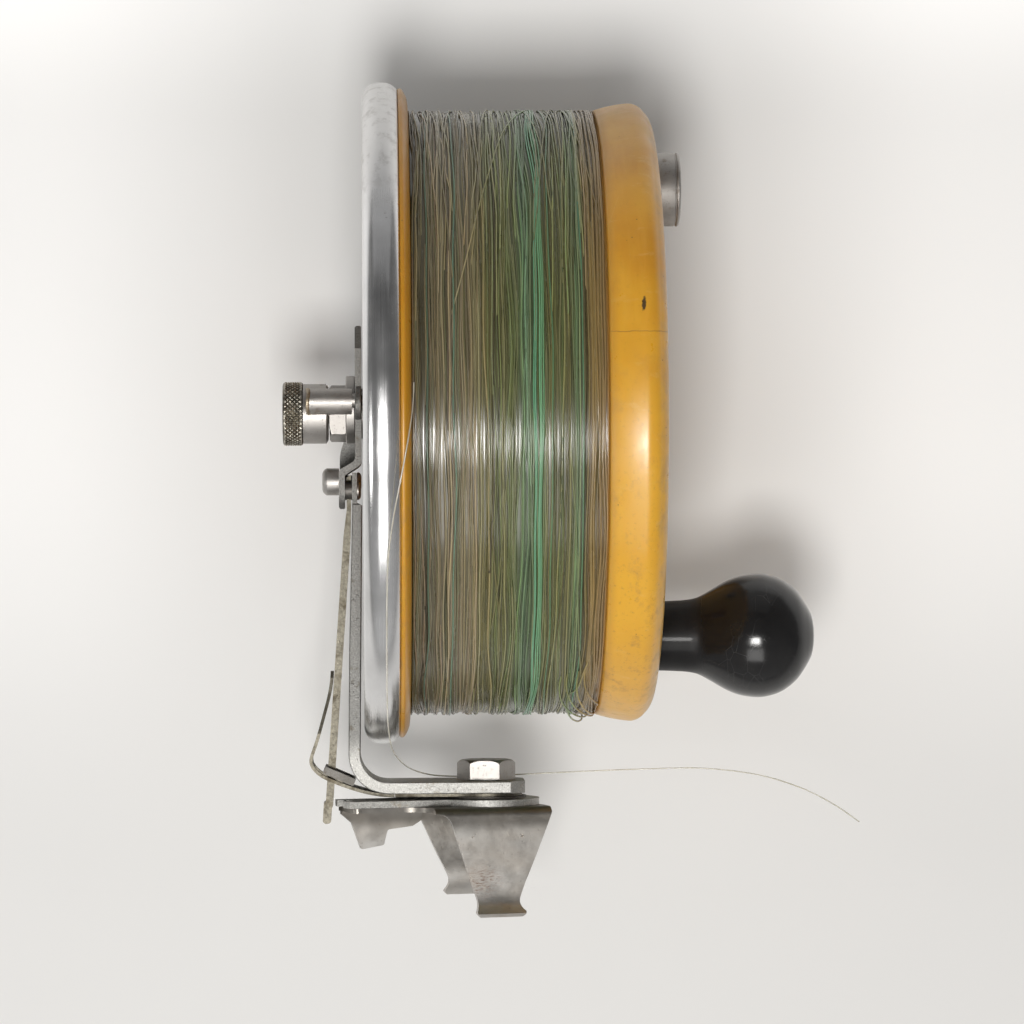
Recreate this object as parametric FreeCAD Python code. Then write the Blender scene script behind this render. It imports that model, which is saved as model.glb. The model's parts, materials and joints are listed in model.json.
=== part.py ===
import FreeCAD, Part
import math
import os
from FreeCAD import Vector

# Side-cast fishing reel on a swivelling leg, with its rod clip. Millimetres.
# Frame: +X along the spool spindle towards the winding handle (the front),
# +Z up, +Y completes a right-handed frame. Origin on the rod seat (the
# underside of the clip's base) at the swivel axis. The pieces are drawn about
# the spindle axis, in the middle of the spool's width, and moved when saved.

# ------------------------------------------------------- shared dimensions
RUN = 0.05               # radial running clearance
SEAT = 0.02              # radial gap of parts fixed together
THREAD_R = 3.95          # 5/16 in thread
HEX_AF = 12.7            # 1/2 in across flats
HEX_CORNER_R = HEX_AF / 2 / math.cos(math.pi / 6)
COS45 = math.cos(math.radians(45))
SIDES = (-1, 1)          # the -Y and +Y sides

# spool
FLANGE_X0, FLANGE_X1 = -28.3, -25.8    # back flange
DRUM_R, DRUM_RI = 62.0, 58.5           # drum under the line, outside and inside
FRONT_X0, FRONT_X1 = 20.5, 34.5        # front flange: inner face, outermost plane
HUB_R = 14.0
BUSH_R = 8.0
JOURNAL_R = 4.75                       # spindle journal
SCREW_COUNT = 6
SCREW_RING_R = 60.3                    # circle of the guard's screws
HANDLE_Z = -56.3                       # handle axis
WEIGHT_Z = 56.2                        # counterweight axis
WEIGHT_STUD_R = 2.5

# back bracket, its fixings and the check pin
BRACKET_T = 1.6
BRACKET_X1 = -37.5
BRACKET_X0 = BRACKET_X1 - BRACKET_T
WASHER_R, WASHER_Z = 8.5, 1.0          # loose washer, off centre on the thread
TIP_Y, TIP_Z, TIP_R = -9.8, 2.9, 1.8   # tip of the check pin
STUD_Z, STUD_R = -17.1, 1.6            # latch stud
RIVET_Y, RIVET_Z, RIVET_R = 6.3, -19.4, 1.3

# leg, latch and foot, from the top down
PIVOT_X, PIVOT_R = -6.6, 3.95          # swivel bolt, parallel to Z
LEG_T = 3.0
LEG_TOP = -92.1
LEG_BOT = LEG_TOP - LEG_T
SPRING_T = 0.8
SPRING_HALF = 7.0                      # half width of the latch spring
PLATE_Z1, PLATE_Z0 = -96.6, -98.2
CLIP_T = 1.2
CLIP_Z1 = PLATE_Z0 - 0.05
CLIP_Z0 = CLIP_Z1 - CLIP_T
FOOT_YAW = 15.0                        # the foot is turned this far from the leg's line
FOOT_ARM_HALF = 7.0                    # half width of the plate's arms and clip's tongue
FOOT_RIVETS = [(-25.0, 0.0), (9.3, 0.0)]   # (u, n) in the foot's frame
FOOT_RIVET_R = 1.6

TO_ROD_SEAT = Vector(-PIVOT_X, 0.0, -CLIP_Z0)

os.makedirs("parts", exist_ok=True)


# ------------------------------------------------------------------ helpers
def cyl_x(x0, x1, radius, y=0.0, z=0.0):
    return Part.makeCylinder(radius, x1 - x0, Vector(x0, y, z), Vector(1, 0, 0))


def cyl_z(z0, z1, radius, x=0.0, y=0.0):
    return Part.makeCylinder(radius, z1 - z0, Vector(x, y, z0), Vector(0, 0, 1))


def box(x0, x1, y0, y1, z0, z1):
    return Part.makeBox(x1 - x0, y1 - y0, z1 - z0, Vector(x0, y0, z0))


def smooth_curve(points, **tangents):
    curve = Part.BSplineCurve()
    curve.interpolate(Points=points, **tangents)
    return curve


def outline(segs, to3d):
    """Closed face from a start point and steps: (a, b) is a line to that point,
    ('arc', mid, end) an arc, ('spline', [points]) a smooth curve."""
    edges = []

    def line(start, end):
        if math.dist(start, end) > 1e-7:
            edges.append(Part.LineSegment(to3d(*start), to3d(*end)).toShape())

    last = segs[0]
    for seg in segs[1:]:
        if seg[0] == 'arc':
            edges.append(Part.Arc(to3d(*last), to3d(*seg[1]), to3d(*seg[2])).toShape())
            last = seg[2]
        elif seg[0] == 'spline':
            edges.append(smooth_curve([to3d(*p) for p in [last] + seg[1]]).toShape())
            last = seg[1][-1]
        else:
            line(last, seg)
            last = seg
    line(last, segs[0])
    return Part.Face(Part.Wire(edges))


def turn_x(segs, z=0.0):
    """Turn an (x, r) section about the line parallel to X at height z."""
    face = outline(segs, lambda a, b: Vector(a, 0, z + b))
    return face.revolve(Vector(0, 0, z), Vector(1, 0, 0), 360)


def turn_z(segs, x=0.0, y=0.0):
    """Turn an (r, z) section about the vertical line at x, y."""
    face = outline(segs, lambda a, b: Vector(x + a, y, b))
    return face.revolve(Vector(x, y, 0), Vector(0, 0, 1), 360)


def extrude_x(segs, x0, x1):
    """Extrude a (y, z) outline along X."""
    return outline(segs, lambda a, b: Vector(x0, a, b)).extrude(Vector(x1 - x0, 0, 0))


def extrude_y(segs, y0, y1):
    """Extrude an (x, z) outline along Y."""
    return outline(segs, lambda a, b: Vector(a, y0, b)).extrude(Vector(0, y1 - y0, 0))


def extrude_z(segs, z0, z1):
    """Extrude an (x, y) outline along Z."""
    return outline(segs, lambda a, b: Vector(a, b, z0)).extrude(Vector(0, 0, z1 - z0))


def polar(radius, degrees):
    angle = math.radians(degrees)
    return radius * math.cos(angle), radius * math.sin(angle)


def hexagon(across_flats, turn):
    corner_r = across_flats / 2 / math.cos(math.pi / 6)
    return [polar(corner_r, turn + 60 * k) for k in range(6)]


def sheet_outline(curve, thickness, steps):
    """Outline of an even sheet centred on a curve that lies in the XZ plane."""
    left, right = [], []
    u0, u1 = curve.FirstParameter, curve.LastParameter
    for i in range(steps + 1):
        u = u0 + (u1 - u0) * i / steps
        point, tangent = curve.value(u), curve.tangent(u)[0]
        normal = Vector(-tangent.z, 0, tangent.x)
        normal.normalize()
        dx, dz = normal.x * thickness / 2, normal.z * thickness / 2
        left.append((point.x + dx, point.z + dz))
        right.append((point.x - dx, point.z - dz))
    right.reverse()
    return [left[0], ('spline', left[1:]), right[0], ('spline', right[1:])]


def tidy(shape):
    """Drop seams left by booleans and keep a plain solid."""
    merged = shape.removeSplitter()
    if merged.ShapeType != 'Solid' and len(merged.Solids) == 1:
        merged = merged.Solids[0]
    return merged


def save(name, shape):
    shape = shape.copy()
    shape.translate(TO_ROD_SEAT)
    shape.exportStep(os.path.join("parts", name + ".step"))


def place_foot(shape):
    """From the foot's own frame (u along the clip, n across) to the model."""
    placed = shape.copy()
    placed.rotate(Vector(0, 0, 0), Vector(0, 0, 1), FOOT_YAW)
    placed.translate(Vector(PIVOT_X, 0, 0))
    return placed


# ----------------------------------------------------------- spool moulding
# Back flange, drum, web closing the drum's front, thick rolled front flange.
FLANGE_R = 81.3
FRONT_R = 77.5
WEB_X0, WEB_X1 = 25.0, 29.0
BLIND_X = 21.4           # bottom of the blind holes in the bosses
SCREW_ANGLES = [60 * k + 15 for k in range(SCREW_COUNT)]

shell = turn_x([
    (FLANGE_X0, DRUM_RI), (FLANGE_X0, FLANGE_R - 0.3),
    (FLANGE_X0 + 0.3, FLANGE_R), (-27.35, FLANGE_R),
    ('arc', (-26.25, 79.6), (FLANGE_X1, 76.2)),
    (FLANGE_X1, DRUM_R), (FRONT_X0, DRUM_R), (FRONT_X0, 74.9),
    ('arc', (20.75, 75.65), (21.4, 76.0)),
    ('arc', (25.4, 77.0), (28.9, FRONT_R)),
    ('arc', (31.2, 77.1), (32.8, 75.75)),
    ('arc', (33.95, 74.3), (FRONT_X1, 72.6)),
    (FRONT_X1, 70.6),
    ('arc', (34.1, 69.5), (33.1, 68.7)),
    ('arc', (30.2, 66.0), (WEB_X1, 62.4)),
    (WEB_X1, 10.0), (WEB_X0, 10.0), (WEB_X0, 55.5),
    ('arc', (24.12, 57.62), (22.0, DRUM_RI)),
])
hub = cyl_x(-36.2, 29.4, HUB_R)
# seat for the click ring on the hub's back end
hub = hub.cut(cyl_x(-36.3, -35.2, 20.0).cut(cyl_x(-36.4, -35.1, 7.4)))
hub = hub.fuse(turn_x([
    (WEB_X0 - 4, HUB_R - 1), (WEB_X0 + 0.5, HUB_R - 1), (WEB_X0 + 0.5, HUB_R + 5),
    (WEB_X0, HUB_R + 5), ('arc', (WEB_X0 - 2.8, HUB_R + 1.4), (WEB_X0 - 4, HUB_R))]))
handle_boss = cyl_x(18.0, FRONT_X1, 12.0, z=HANDLE_Z)
weight_boss = cyl_x(18.0, FRONT_X1, 11.5, z=WEIGHT_Z)
# the bosses stay inside the drum and the front flange
boss_limit = cyl_x(17.0, FRONT_X0 + 0.3, 61.8).fuse(cyl_x(FRONT_X0 + 0.3, 40.0, 66.4))
ribs = []
for k in range(6):
    rib = extrude_y([(-22.0, HUB_R - 1), (-14.0, DRUM_RI + 0.8),
                     (WEB_X0 + 0.5, DRUM_RI + 0.8), (WEB_X0 + 0.5, HUB_R - 1)], -1.5, 1.5)
    rib.rotate(Vector(0, 0, 0), Vector(1, 0, 0), 30 + 60 * k)
    ribs.append(rib)
spool = shell.fuse([hub, handle_boss.common(boss_limit), weight_boss.common(boss_limit)] + ribs)
spool = spool.cut(cyl_x(-40, 40, BUSH_R))
# blind threaded holes for the handle's spindle and the counterweight's stud
spool = spool.cut(cyl_x(BLIND_X, 40, THREAD_R + SEAT, z=HANDLE_Z))
spool = spool.cut(cyl_x(BLIND_X, 40, WEIGHT_STUD_R + SEAT, z=WEIGHT_Z))
# drain holes through the web
for degrees in (60, 120, 240, 300):
    y, z = polar(37, degrees)
    spool = spool.cut(cyl_x(20, 34, 4.0, y=y, z=z))
for degrees in SCREW_ANGLES:
    y, z = polar(SCREW_RING_R, degrees)
    spool = spool.cut(cyl_x(-29, -22.5, 1.0 + SEAT, y=y, z=z))
save("spool_moulding", tidy(spool))

# ------------------------------------------------------ rim guard and screws
# Pressed metal: rounded outside, flat back, stepped in to a screw flange.
GUARD_R = 82.75          # outside radius (6.5 in reel)
GUARD_T = 1.2            # sheet
GUARD_X0 = -37.1         # back face
GUARD_X1 = -28.34        # front face, against the back flange

guard = turn_x([
    (GUARD_X1, 81.0),
    ('arc', (-29.9, 82.3), (-32.3, GUARD_R)),
    ('arc', (-35.65, 81.75), (GUARD_X0, 78.6)),
    (GUARD_X0, 70.2),
    ('arc', (-36.25, 68.0), (-34.2, 66.9)),
    ('arc', (-30.6, 66.2), (-29.55, 64.6)),
    (-29.55, DRUM_RI + 0.2), (GUARD_X1, DRUM_RI + 0.2), (GUARD_X1, 65.2),
    ('arc', (-30.0, 67.3), (-34.0, 68.1)),
    ('arc', (-35.4, 68.9), (GUARD_X0 + GUARD_T, 70.4)),
    (GUARD_X0 + GUARD_T, 78.4),
    ('arc', (-34.85, 80.8), (-32.2, GUARD_R - GUARD_T)),
    ('arc', (-30.4, 81.2), (GUARD_X1, 79.6)),
])
screws = []
for k, degrees in enumerate(SCREW_ANGLES):
    y, z = polar(SCREW_RING_R, degrees)
    guard = guard.cut(cyl_x(-32, -28, 1.25, y=y, z=z))
    screw = turn_x([(-31.0, 0), (-31.0, 0.9), ('arc', (-30.65, 1.55), (-29.6, 1.55)),
                    (-29.6, 1.0), (-23.2, 1.0), (-22.8, 0.4), (-22.8, 0)])
    screw = screw.cut(box(-31.5, -30.45, -2, 2, -0.2, 0.2))
    screw.rotate(Vector(0, 0, 0), Vector(1, 0, 0), 20 * k)
    screw.translate(Vector(0, y, z))
    screws.append(tidy(screw))
save("rim_guard", tidy(guard))
save("rim_screws", Part.makeCompound(screws))

# ------------------------------------------------------------- line winding
# The whole coil as one solid, just clear of the spool.
LINE_R = 75.8
LINE_GAP = 0.08

save("line_winding", turn_x([
    (FLANGE_X1 + LINE_GAP, DRUM_R + LINE_GAP), (FLANGE_X1 + LINE_GAP, LINE_R - 0.6),
    ('arc', (-24.9, LINE_R - 0.1), (-23.6, LINE_R)), (18.6, LINE_R),
    ('arc', (19.8, LINE_R - 0.3), (FRONT_X0 - LINE_GAP, LINE_R - 1.0)),
    (FRONT_X0 - LINE_GAP, DRUM_R + LINE_GAP)]))

# ------------------------------------------------- hub bushes and click ring
# Two plain bushes pressed into the hub.
bushes = []
for x0, x1 in ((-36.15, -20), (13.0, 29.35)):
    bushes.append(turn_x([(x0, JOURNAL_R + RUN), (x0, BUSH_R - SEAT),
                          (x1, BUSH_R - SEAT), (x1, JOURNAL_R + RUN)]))
save("spool_bushes", Part.makeCompound(bushes))

# Ring toothed on its back face, felt by the check pin's tip.
TOOTH_COUNT = 30

ring = turn_x([(-35.22, BUSH_R + 0.02), (-36.85, BUSH_R + 0.02), (-36.85, 13.2),
               (-36.45, 13.6), (-35.22, 13.6)])
for k in range(TOOTH_COUNT):
    notch = extrude_y([(-36.4, 0.0), (-37.3, -1.1), (-37.3, 1.1)], 7.0, 14.2)
    notch.rotate(Vector(0, 0, 0), Vector(1, 0, 0), 360.0 / TOOTH_COUNT * k)
    ring = ring.cut(notch)
save("click_ring", tidy(ring))

# ------------------------------------------- counterweight, opposite the handle
WEIGHT_R = 9.25

weight = turn_x([
    (FRONT_X1 + 0.05, 0), (FRONT_X1 + 0.05, WEIGHT_R), (41.35, WEIGHT_R),
    (41.5, WEIGHT_R - 0.3), (41.75, WEIGHT_R - 0.3), (41.9, WEIGHT_R), (42.3, WEIGHT_R),
    (42.7, WEIGHT_R - 0.4), (42.7, 5.2), ('arc', (42.35, 4.0), (41.9, 3.6)), (41.9, 0)],
    z=WEIGHT_Z)
weight = weight.cut(cyl_x(30, 40.2, WEIGHT_STUD_R + SEAT, z=WEIGHT_Z))
save("counterweight", tidy(weight))

# headless stud, slotted at its back end
weight_stud = turn_x([(21.6, 0), (21.6, 2.0), (22.1, WEIGHT_STUD_R), (39.6, WEIGHT_STUD_R),
                      (40.0, 2.1), (40.0, 0)], z=WEIGHT_Z)
weight_stud = weight_stud.cut(box(21, 22.6, -3, 3, WEIGHT_Z - 0.5, WEIGHT_Z + 0.5))
save("counterweight_stud", tidy(weight_stud))

# ------------------------------------------------------------------- handle
HANDLE_END = 70.0        # front end of the handle's journal
HANDLE_JOURNAL_R = 3.5
HANDLE_SCREW_R = 2.0
HANDLE_BORE_R = 5.5
CAP_X0, CAP_R = 73.6, 5.4

# spindle: screwed into its boss up to a collar, then a long journal
collar_x = FRONT_X1 + 0.03
handle_spindle = turn_x([
    (21.6, 0), (21.6, 3.4), (22.1, THREAD_R), (collar_x, THREAD_R), (collar_x, 7.0),
    (35.6, 7.0), (35.6, HANDLE_JOURNAL_R), (HANDLE_END, HANDLE_JOURNAL_R),
    (HANDLE_END, 0)], z=HANDLE_Z)
handle_spindle = handle_spindle.cut(cyl_x(60.0, 71, HANDLE_SCREW_R + SEAT, z=HANDLE_Z))
save("handle_spindle", tidy(handle_spindle))

handle_screw = turn_x([
    (61.0, 0), (61.0, HANDLE_SCREW_R), (HANDLE_END + 0.1, HANDLE_SCREW_R),
    (HANDLE_END + 0.1, 4.9), (72.0, 4.9), (72.6, 4.2), (72.6, 0)], z=HANDLE_Z)
handle_screw = handle_screw.cut(box(71.6, 73, -5.5, 5.5, HANDLE_Z - 0.6, HANDLE_Z + 0.6))
save("handle_screw", tidy(handle_screw))

grip = turn_x([
    (35.1, 0), (35.1, 8.35), (35.35, 8.62), (36.4, 8.66), (42.7, 8.94),
    ('spline', [(45.2, 9.24), (47.3, 9.86), (50.15, 11.45), (54.0, 13.65), (57.5, 15.0),
                (61.4, 15.56), (64.5, 15.3), (68.0, 14.1), (71.5, 11.5), (74.0, 8.1),
                (75.5, 5.1)]),
    ('arc', (76.0, 3.0), (76.15, 0.9)), (76.15, 0),
], z=HANDLE_Z)
# the cap is the middle of the grip's rounded end
cap = grip.common(cyl_x(CAP_X0, 78, CAP_R - 0.04, z=HANDLE_Z))
knob = grip.cut([cyl_x(CAP_X0, 78, CAP_R, z=HANDLE_Z), cyl_x(70.0, 74, 5.3, z=HANDLE_Z),
                 cyl_x(34, 36.0, 7.4, z=HANDLE_Z), cyl_x(35, 71, HANDLE_BORE_R, z=HANDLE_Z)])
save("handle_knob", tidy(knob))
save("handle_cap", tidy(cap))

handle_bush = cyl_x(36.1, HANDLE_END - 0.1, HANDLE_BORE_R - SEAT, z=HANDLE_Z)
handle_bush = handle_bush.cut(cyl_x(36, 70, HANDLE_JOURNAL_R + RUN, z=HANDLE_Z))
save("handle_bush", tidy(handle_bush))

# ---------------------------------------------------- spindle and its stack
TAIL_X = -53.1           # back end of the spindle
RETAINER_R = 1.25        # shank of the check retainer
NUT_X0, NUT_X1 = -45.45, -41.45
FRONT_NUT_X0, FRONT_NUT_X1 = 30.35, 33.35

spindle = turn_x([
    (TAIL_X, 0), (TAIL_X, 2.5), (-45.6, 2.5), (-45.6, 3.6), (-45.3, THREAD_R),
    (BRACKET_X1 + 0.03, THREAD_R), (BRACKET_X1 + 0.03, 6.3), (-36.28, 6.3),
    (-36.28, JOURNAL_R), (29.1, JOURNAL_R), (29.5, THREAD_R), (33.5, THREAD_R),
    (33.9, 3.5), (33.9, 0)])
spindle = spindle.cut(cyl_x(-54, -49.0, RETAINER_R + SEAT))
save("spindle", tidy(spindle))

nut = extrude_x([(-y, z) for y, z in hexagon(HEX_AF, 14.0)], NUT_X0, NUT_X1)
nut = nut.common(turn_x([
    (NUT_X0, 0), (NUT_X0, 6.5), (NUT_X0 + 0.5, HEX_CORNER_R + 0.1),
    (NUT_X1, HEX_CORNER_R + 0.1), (NUT_X1, 0)])).cut(cyl_x(-50, -40, THREAD_R + SEAT))
save("spindle_nut", tidy(nut))

# the loose washer hangs off centre on the thread
washer = cyl_x(-41.4, BRACKET_X0 - 0.04, WASHER_R, z=WASHER_Z)
washer = washer.cut(cyl_x(-42, -39, 5.0, z=WASHER_Z))
rim_edges = [e for e in washer.Edges if abs(e.BoundBox.ZLength - 2 * WASHER_R) < 0.01]
washer = washer.makeFillet(0.25, rim_edges)
save("spindle_washer", tidy(washer))

front_washer = cyl_x(29.55, 30.3, 7.4).cut(cyl_x(29, 31, 4.05))
save("front_washer", tidy(front_washer))

front_nut = extrude_x(hexagon(11.1, 5), FRONT_NUT_X0, FRONT_NUT_X1)
front_nut = front_nut.common(turn_x([
    (FRONT_NUT_X0, 0), (FRONT_NUT_X0, 6.5), (32.8, 6.5), (FRONT_NUT_X1, 5.6),
    (FRONT_NUT_X1, 0)]))
front_nut = front_nut.cut(cyl_x(29, 35, THREAD_R + SEAT))
save("front_nut", tidy(front_nut))

# --------------------------------------------------------------- check knob
# Sleeve over the spindle's tail, knurled cap, side pin, spring and retainer.
SLEEVE_R = 7.5
NECK_R = 6.0             # neck of the sleeve, inside the cap
SLEEVE_STEP_X = -52.1
KNURL_R = 8.05
PIN_Y, PIN_Z, PIN_R = -8.5, 2.75, 3.25
RETAINER_X = TAIL_X - 0.05   # face of the retainer's head
CHECK_TRAVEL = 2.3
COIL_R, WIRE_R, COIL_TURNS = 3.75, 0.36, 3.0

sleeve = turn_x([
    (-55.0, 5.0), (-55.0, NECK_R), (SLEEVE_STEP_X, NECK_R), (SLEEVE_STEP_X, SLEEVE_R),
    (-46.3, SLEEVE_R), (-45.75, 6.6), (-45.75, 2.55), (-47.2, 2.55), (-47.2, 5.0)])
sleeve = sleeve.cut(cyl_x(-51.2, -45, PIN_R + SEAT, y=PIN_Y, z=PIN_Z))
save("check_sleeve", tidy(sleeve))

cap_x1 = SLEEVE_STEP_X - 0.02
head = turn_x([
    (-57.2, 0), (-57.2, 7.2), ('arc', (-56.95, 7.8), (-56.4, KNURL_R)), (-52.9, KNURL_R),
    ('arc', (-52.37, 7.85), (cap_x1, 7.3)), (cap_x1, NECK_R + SEAT),
    (-55.6, NECK_R + SEAT), (-55.6, 0)])
save("check_head", tidy(head))

pin = cyl_x(-51.15, -39.85, PIN_R, y=PIN_Y, z=PIN_Z)
# room for the nut and the washer
pin = pin.cut([cyl_x(-45.8, -39, 7.55), cyl_x(-41.6, -39, 8.7, z=WASHER_Z)])
pin = pin.fuse(cyl_x(-41.5, -37.7, TIP_R, y=TIP_Y, z=TIP_Z))
pin = pin.fuse(Part.makeCone(TIP_R, 0.9, 0.6, Vector(-37.7, TIP_Y, TIP_Z), Vector(1, 0, 0)))
# the tip is hollowed along its side where it passes the washer
pin = pin.cut(cyl_x(-41.6, -36.0, 8.62, z=WASHER_Z))
save("check_pin", tidy(pin))

# return spring against the sleeve's inner shoulder, at its fully pressed length
coil_x0 = RETAINER_X + CHECK_TRAVEL + 0.08 + WIRE_R
coil_length = -47.25 - WIRE_R - coil_x0
helix = Part.makeHelix(coil_length / COIL_TURNS, coil_length, COIL_R)
wire_section = Part.Wire(
    Part.Circle(Vector(COIL_R, 0, 0), Vector(0, 1, 0), WIRE_R).toShape())
coil = Part.Wire(helix).makePipeShell([wire_section], True, True)
coil.rotate(Vector(0, 0, 0), Vector(0, 1, 0), 90)
coil.translate(Vector(coil_x0, 0, 0))
save("check_spring", coil.Solids[0])

retainer = turn_x([
    (-54.9, 0), (-54.9, 2.0), (-54.4, 2.4), (-54.0, 2.4), (-54.0, 4.6), (RETAINER_X, 4.6),
    (RETAINER_X, RETAINER_R), (-50.0, RETAINER_R), (-50.0, 0)])
save("check_retainer", tidy(retainer))

# ------------------------------------------------------------- back bracket
BRACKET_TOP = 21.8
BRACKET_HALF = 10.0
BRACKET_CORNER = 5.9     # cut off each top corner
STEP_X0 = -43.2          # back face of the bracket's stepped-back foot

bracket = extrude_y([
    (BRACKET_X1, BRACKET_TOP - 0.3), (BRACKET_X1 - 0.3, BRACKET_TOP),
    (BRACKET_X0 + 0.6, BRACKET_TOP),
    ('arc', (BRACKET_X0 + 0.18, BRACKET_TOP - 0.2), (BRACKET_X0, BRACKET_TOP - 0.8)),
    (BRACKET_X0, -11.3), ('arc', (-39.45, -12.1), (-40.0, -12.55)), (-42.5, -14.0),
    ('arc', (-43.05, -14.5), (STEP_X0, -15.2)), (STEP_X0, -23.4),
    ('arc', (-43.05, -23.75), (-42.7, -23.9)), (-42.2, -23.9),
    ('arc', (-41.85, -23.75), (-41.7, -23.4)), (-41.7, -16.1),
    ('arc', (-41.6, -15.7), (-41.3, -15.4)), (-38.3, -13.45),
    ('arc', (-37.7, -12.75), (BRACKET_X1, -12.0)),
], -BRACKET_HALF, BRACKET_HALF)
bracket = bracket.common(extrude_x([
    (-BRACKET_HALF, BRACKET_TOP - BRACKET_CORNER),
    (-BRACKET_HALF + BRACKET_CORNER, BRACKET_TOP + 1),
    (BRACKET_HALF - BRACKET_CORNER, BRACKET_TOP + 1),
    (BRACKET_HALF, BRACKET_TOP - BRACKET_CORNER),
    (BRACKET_HALF, -19.4), ('arc', (8.7, -22.6), (5.5, -24.2)),
    (-5.5, -24.2), ('arc', (-8.7, -22.6), (-BRACKET_HALF, -19.4))], -46, -36))
# round ear that guides the check pin's tip
ear = cyl_x(BRACKET_X0, BRACKET_X1, 4.15, y=TIP_Y, z=2.3)
ear = ear.makeFillet(0.3, [e for e in ear.Edges if e.Curve.TypeId == 'Part::GeomCircle'])
# gusset behind the step, on the +Y edge
gusset = extrude_y([
    (BRACKET_X0 + 0.8, 1.0), (BRACKET_X0 - 0.2, 0.4), (-41.0, -3.6), (-42.6, -8.6),
    ('arc', (-42.95, -10.2), (-43.05, -11.8)), (-43.05, -14.6), (-42.0, -14.6),
    (-39.4, -13.0), (BRACKET_X0 + 0.8, -12.4)], 8.75, BRACKET_HALF)
bracket = bracket.fuse([ear, gusset])
bracket = bracket.cut([cyl_x(-46, -36, THREAD_R + SEAT),
                       cyl_x(-46, -36, TIP_R + RUN, y=TIP_Y, z=TIP_Z),
                       cyl_x(-46, -40.5, STUD_R + SEAT, z=STUD_Z)])
for side in SIDES:
    y = side * RIVET_Y
    bracket = bracket.cut(cyl_x(-46, -40.5, RIVET_R + SEAT, y=y, z=RIVET_Z))
    bracket = bracket.cut(Part.makeCone(2.32, RIVET_R, 1.05, Vector(STEP_X0, y, RIVET_Z),
                                        Vector(1, 0, 0)))
save("back_bracket", tidy(bracket))

# ------------------------------------------------------------------ leg bar
LEG_XI = -37.4           # inner face of the upright
LEG_LEAN = 0.7           # the upright leans out by this much at its foot
LEG_END = 2.9
LEG_HALF = 10.0
BEND_R = 7.0             # inside radius of the bend
LEG_CORNER = 3.6         # cut off each corner of the free end
TONGUE_X0, TONGUE_X1 = -39.9, -38.7

bend_x, bend_z = LEG_XI - LEG_LEAN + BEND_R, LEG_TOP + BEND_R
outer_r = BEND_R + LEG_T
leg = extrude_y([
    (TONGUE_X1, -15.0), (TONGUE_X1, -22.4), (LEG_XI, -23.2), (LEG_XI - LEG_LEAN, bend_z),
    ('arc', (bend_x - BEND_R * COS45, bend_z - BEND_R * COS45), (bend_x, LEG_TOP)),
    (LEG_END, LEG_TOP), (LEG_END, LEG_BOT), (bend_x, LEG_BOT),
    ('arc', (bend_x - outer_r * COS45, bend_z - outer_r * COS45), (bend_x - outer_r, bend_z)),
    (LEG_XI - LEG_T - 0.45, -60.0), (TONGUE_X0, -24.0), (TONGUE_X0, -15.0)],
    -LEG_HALF, LEG_HALF)
# the tongue is narrower than the bar
leg = leg.cut([box(-42, -36, -11, -8.6, -23.0, -10), box(-42, -36, 8.6, 11, -23.0, -10)])
for side in SIDES:
    leg = leg.cut(extrude_z([(LEG_END + 1, side * (LEG_HALF - LEG_CORNER - 1)),
                             (LEG_END + 1, side * (LEG_HALF + 1)),
                             (LEG_END - LEG_CORNER - 1, side * (LEG_HALF + 1))], -97, -90))
leg = leg.cut([cyl_z(-97, -90, PIVOT_R + RUN, x=PIVOT_X),
               cyl_x(-41, -36, STUD_R + SEAT, z=STUD_Z)])
for side in SIDES:
    leg = leg.cut(cyl_x(-41, -36, RIVET_R + SEAT, y=side * RIVET_Y, z=RIVET_Z))
leg = tidy(leg)
side_edges = [e for e in leg.Edges if abs(abs(e.BoundBox.YMin) - LEG_HALF) < 1e-6
              and e.BoundBox.YLength < 1e-6 and e.BoundBox.ZMax < -23.0]
# guards the fillet of the long edges: if it fails, they stay sharp
try:
    rounded = leg.makeFillet(0.35, side_edges)
    if rounded.isValid():
        leg = rounded
except Exception:
    pass
save("leg_bar", leg)

# ------------------------------------------- stud, rivets, spacers of the leg
HEAD_X = -38.66          # underside of the front heads

stud = turn_x([
    (-47.4, 0), (-47.4, 1.7), ('arc', (-47.05, 2.8), (-46.2, 3.4)), (-43.22, 3.4),
    (-43.22, STUD_R), (HEAD_X, STUD_R), (HEAD_X, 2.35), (-38.2, 2.35),
    ('arc', (-37.75, 1.9), (-37.6, 0.9)), (-37.6, 0)], z=STUD_Z)
save("latch_stud", tidy(stud))

rivets, spacers = [], []
for side in SIDES:
    y = side * RIVET_Y
    rivet = turn_x([
        (STEP_X0, 0), (STEP_X0, 2.28), (-42.15, RIVET_R), (HEAD_X, RIVET_R), (HEAD_X, 2.2),
        (-38.3, 2.2), ('arc', (-37.85, 1.7), (-37.7, 0.8)), (-37.7, 0)])
    rivet.translate(Vector(0, y, RIVET_Z))
    rivets.append(tidy(rivet))
    spacers.append(cyl_x(-41.68, -39.92, 2.2, y=y, z=RIVET_Z)
                   .cut(cyl_x(-42, -39, RIVET_R + RUN, y=y, z=RIVET_Z)))
save("bracket_rivets", Part.makeCompound(rivets))
save("bracket_spacers", Part.makeCompound(spacers))

# -------------------------------------------------------------------- latch
STRIP_HALF = 4.0
STUD_SLOT_HALF = 1.95    # slot over the stud, open at the top

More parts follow.
